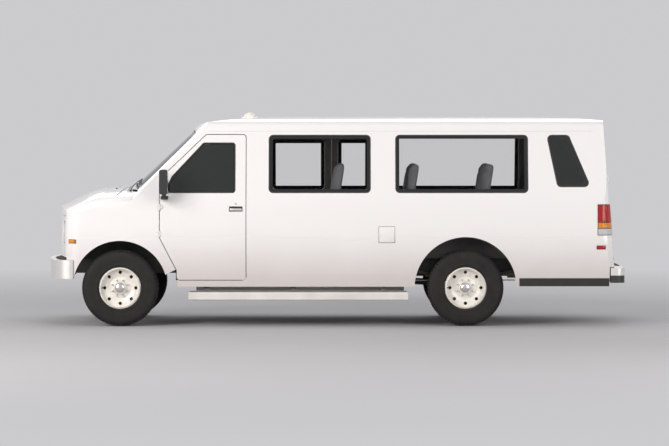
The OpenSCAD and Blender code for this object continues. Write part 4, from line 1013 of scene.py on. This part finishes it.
# Cabin fittings: padded visors and a mirror over the windshield, webbing belts bolted to the pillars, three
# roof lamps, and a card with an armrest, a handle and a speaker clipped to each front door.
mesh, arms, mirror = bmesh.new(), bmesh.new(), bmesh.new()
visor_droop, visor_x, visor_z = math.radians(18), 1.385, 1.925
for side in (1, -1):
    turn = Matrix.Translation((visor_x - 0.050, side * 0.42, visor_z + 0.010))
    turn = turn @ Matrix.Rotation(visor_droop, 4, "Y")
    block(mesh, (-0.075, -0.190, -0.009), (0.075, 0.190, 0.009), 0.008, 3, turn)
    rod(arms, (visor_x, side * 0.26, visor_z), (visor_x, side * 0.26, 1.985), 0.005, 10)
    rod(arms, (visor_x, side * 0.22, visor_z), (visor_x, side * 0.62, visor_z), 0.004, 10)
block(arms, (1.395, -0.120, 1.840), (1.412, 0.120, 1.900), 0.008, 3)
block(mirror, (1.3935, -0.114, 1.846), (1.3955, 0.114, 1.894), 0.0008, 1)
rod(arms, (1.408, 0, 1.870), (1.420, 0, 1.985), 0.006, 12)
piece("sun_visors", mesh, interior, "body")
piece("visor_arms", arms, black_plastic, "body")
piece("inner_mirror", mirror, mirror_silver, "body")
ceiling = surface_of("roof_panel")
mesh, foot = bmesh.new(), bmesh.new()
for x in (0.55, -0.95, -2.1):
    at, out, _, _ = ceiling.ray_cast(Vector((x, 0, 1.5)), Vector((0, 0, 1)))
    place = seated((at, out))
    block(foot, (-0.095, -0.048, -0.001), (0.095, 0.048, 0.006), 0.002, 2, place)
    block(mesh, (-0.086, -0.040, 0.004), (0.086, 0.040, 0.018), 0.006, 3, place)
piece("roof_lamp_feet", foot, interior, "body")
piece("roof_lamps", mesh, clear_lens, "body")
webbing = grained("webbing", (0.045, 0.045, 0.048), 0.80, 900, 0.0003, spread=0.15, Sheen_Weight=0.2)
belt_low, belt_top = 0.760, 1.760
belts, anchors = bmesh.new(), bmesh.new()
for x, side in ((0.800, 1), (0.800, -1), (-0.500, 1), (-2.060, 1), (-2.060, -1)):
    run = [on_side(x, z, side, 0) for z in span(belt_low, belt_top, 14)]
    strip(belts, [(at + out * 0.004, out) for at, out in run], 0.046, 0.0014, sink=0.0, taper=1.0)
    for z in (belt_low + 0.020, belt_top - 0.005):
        place = seated(on_side(x, z, side, 0))
        block(anchors, (-0.030, -0.022, -0.001), (0.030, 0.022, 0.012), 0.004, 2, place)
piece("seat_belts", belts, webbing, "body")
piece("belt_anchors", anchors, black_plastic, "body")
for name, side, body in (("driver", 1, "driver_door"), ("passenger", -1, "passenger_door")):
    card, rest, knob = bmesh.new(), bmesh.new(), bmesh.new()
    strip(card, [on_side(x, 0.90, side, 0) for x in (0.935, 1.20, 1.40, 1.60)], 0.62, 0.006, taper=0.98)
    place = seated(on_side(1.22, 1.02, side, 0))
    block(rest, (-0.160, -0.030, 0.004), (0.160, 0.030, 0.055), 0.016, 4, place)
    block(knob, (0.190, 0.070, 0.004), (0.270, 0.092, 0.020), 0.005, 3, place)
    turned(knob, [(0.0, 0.010), (0.020, 0.011), (0.022, 0.008), (0.062, 0.009), (0.070, 0.012),
                  (0.076, 0.004)], seated(on_side(1.42, 0.72, side, 0)), steps=36)
    piece("door_card_" + name, card, interior, body)
    piece("armrest_" + name, rest, black_plastic, body)
    piece("door_knobs_" + name, knob, bright, body)

# Seats: foam pads in grey woven cloth on black steel stands, three places to a bench and four to the last.
# Each pad is a smaller block blown full by the cloth solver, and its sewn channels are drawn in afterwards.
cloth = Finish("seat_cloth", Sheen_Weight=0.3, Sheen_Roughness=0.5, Specular_IOR_Level=0.2)
warp, weft = cloth.waves(160.0, distortion=0.6), cloth.waves(160.0, "DIAGONAL", distortion=0.6)
cloth.feed("Base Color", cloth.blend(warp * weft, (0.16, 0.165, 0.18, 1), (0.30, 0.31, 0.33, 1)))
cloth.feed("Roughness", cloth.between(cloth.noise(30), 0, 1, 0.8, 0.95))
cloth.relief(warp * weft + cloth.noise(220) * 0.3, 0.0008)


def blown(size, round_r, voxel, cap, flat):
    """A stuffed pad that fills a space of a size, pinned where it lies flat: on its foot or its back."""
    slack, held_depth, puff_frames = 0.013, 0.012, 20
    mesh = bmesh.new()
    block(mesh, (slack, slack, 0.002 if flat == "foot" else slack), [c - slack for c in size], round_r, 4)
    data = bpy.data.meshes.new("pad")
    mesh.to_mesh(data)
    mesh.free()
    pad = bpy.data.objects.new("pad", data)
    scene.collection.objects.link(pad)
    cut = pad.modifiers.new("cut", "REMESH")
    cut.mode, cut.voxel_size = "VOXEL", voxel
    start = bpy.data.meshes.new_from_object(pad.evaluated_get(bpy.context.evaluated_depsgraph_get()))
    pad.modifiers.remove(cut)
    pad.data = start
    at = [v.co.copy() for v in start.vertices]
    axis, start_at = (2, min(c.z for c in at)) if flat == "foot" else (0, slack)
    held = pad.vertex_groups.new(name="held")
    held.add([i for i, c in enumerate(at) if c[axis] < start_at + held_depth], 1, "REPLACE")
    soft = pad.modifiers.new("soft", "CLOTH")
    soft.settings.quality = 6
    soft.settings.mass = 0.25
    soft.settings.tension_stiffness = soft.settings.compression_stiffness = 12
    soft.settings.shear_stiffness, soft.settings.bending_stiffness = 6, 0.6
    soft.settings.use_pressure, soft.settings.uniform_pressure_force = True, 4
    soft.settings.effector_weights.gravity = 0
    soft.settings.vertex_group_mass = "held"
    soft.point_cache.frame_start, soft.point_cache.frame_end = 1, puff_frames
    for now in range(1, puff_frames + 1):
        scene.frame_set(now)
    shown = pad.evaluated_get(bpy.context.evaluated_depsgraph_get()).data
    moved = [v.co - c for v, c in zip(shown.vertices, at)]
    at = [c + m * min(1, cap / max(m.length, 1e-9)) for c, m in zip(at, moved)]
    pad.modifiers.remove(soft)
    scene.frame_set(1)
    made = bmesh.new()
    made.from_mesh(start)
    for v, c in zip(made.verts, at):
        v.co = c
    bmesh.ops.smooth_vert(made, verts=made.verts, factor=0.5, use_axis_x=True, use_axis_y=True,
                          use_axis_z=True)
    bpy.data.objects.remove(pad)
    return made


def sewn(mesh, seams, depth, reach):
    """Draws in a stuffed pad along seams: each is an axis, a place on it, and the face it is sewn on."""
    mesh.normal_update()
    for v in mesh.verts:
        for axis, at, face in seams:
            near = math.exp(-((v.co[axis] - at) / reach) ** 2)
            if v.normal.dot(Vector(face)) > 0.15:
                v.co -= v.normal * depth * near * min(1, v.normal.dot(Vector(face)) * 2)


def upholstered(name, stuffed, places, turn=None):
    mesh = bmesh.new()
    for place in places:
        put(mesh, stuffed.copy(), place)
    made = piece(name, mesh, cloth, "body", crease=80, closed=False)
    smooth = made.modifiers.new("smooth", "SUBSURF")
    smooth.levels = smooth.render_levels = 1
    return made


upward, ahead = (0, 0, 1), (1, 0, 0)
place_w, bench_d, bench_h, bench_top, bench_up = 1.28 / 3, 0.460, 0.130, 1.015, 0.12215
base = blown((bench_d, place_w, bench_h), 0.040, 0.020, 0.026, "foot")
sewn(base, [(1, place_w / 3, upward), (1, place_w * 2 / 3, upward), (0, 0.365, upward)], 0.007, 0.014)
back = blown((0.110, place_w, 0.520), 0.040, 0.020, 0.024, "back")
sewn(back, [(1, place_w / 3, ahead), (1, place_w * 2 / 3, ahead), (2, 0.400, ahead), (2, 0.060, ahead)],
     0.007, 0.014)
lean = Matrix.Rotation(math.radians(-9), 4, "Y")
benches = ((1, -0.030, -0.400, 0.880, 3), (2, -0.790, -0.400, 0.880, 3), (3, -1.550, -0.400, 0.880, 3),
           (4, -2.310, -0.860, 0.860, 4))
for number, x, y0, y1, seats in benches:
    wide = (y1 - y0) / seats
    narrow = Matrix.Diagonal((1, wide / place_w, 1, 1))
    spots = [Vector((x, y0 + k * wide, bench_top)) for k in range(seats)]
    bench = upholstered("bench_base_%d" % number, base, [Matrix.Translation(at) @ narrow for at in spots])
    upholstered("bench_back_%d" % number, back,
                [Matrix.Translation(at + Vector((-0.010, 0, bench_up))) @ lean @ narrow for at in spots])
    if number == 1:
        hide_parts("bench_seats")
base.free()
back.free()
seat_w, seat_d, seat_h, seat_top, seat_up = 0.440, 0.480, 0.160, 0.900, 0.14763
base = blown((seat_d, seat_w, seat_h), 0.045, 0.016, 0.028, "foot")
sewn(base, [(1, 0.105, upward), (1, 0.335, upward), (0, 0.375, upward)], 0.008, 0.012)
back = blown((0.120, seat_w, 0.620), 0.045, 0.016, 0.026, "back")
sewn(back, [(1, 0.105, ahead), (1, 0.335, ahead), (2, 0.470, ahead), (2, 0.130, ahead)], 0.008, 0.012)
head = blown((0.090, 0.220, 0.180), 0.036, 0.014, 0.020, "back")
lean = Matrix.Rotation(math.radians(-11), 4, "Y")
for name, side in (("driver", 1), ("passenger", -1)):
    at = Vector((0.960, side * 0.510 - seat_w / 2, seat_top))
    behind = Matrix.Translation(at + Vector((-0.020, 0, seat_up))) @ lean
    seat = upholstered("seat_base_" + name, base, [Matrix.Translation(at)])
    upholstered("seat_back_" + name, back, [behind])
    upholstered("headrest_" + name, head, [behind @ Matrix.Translation((0.015, 0.110, 0.6203))])
    if side > 0:
        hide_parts("front_seats")
base.free()
back.free()
head.free()
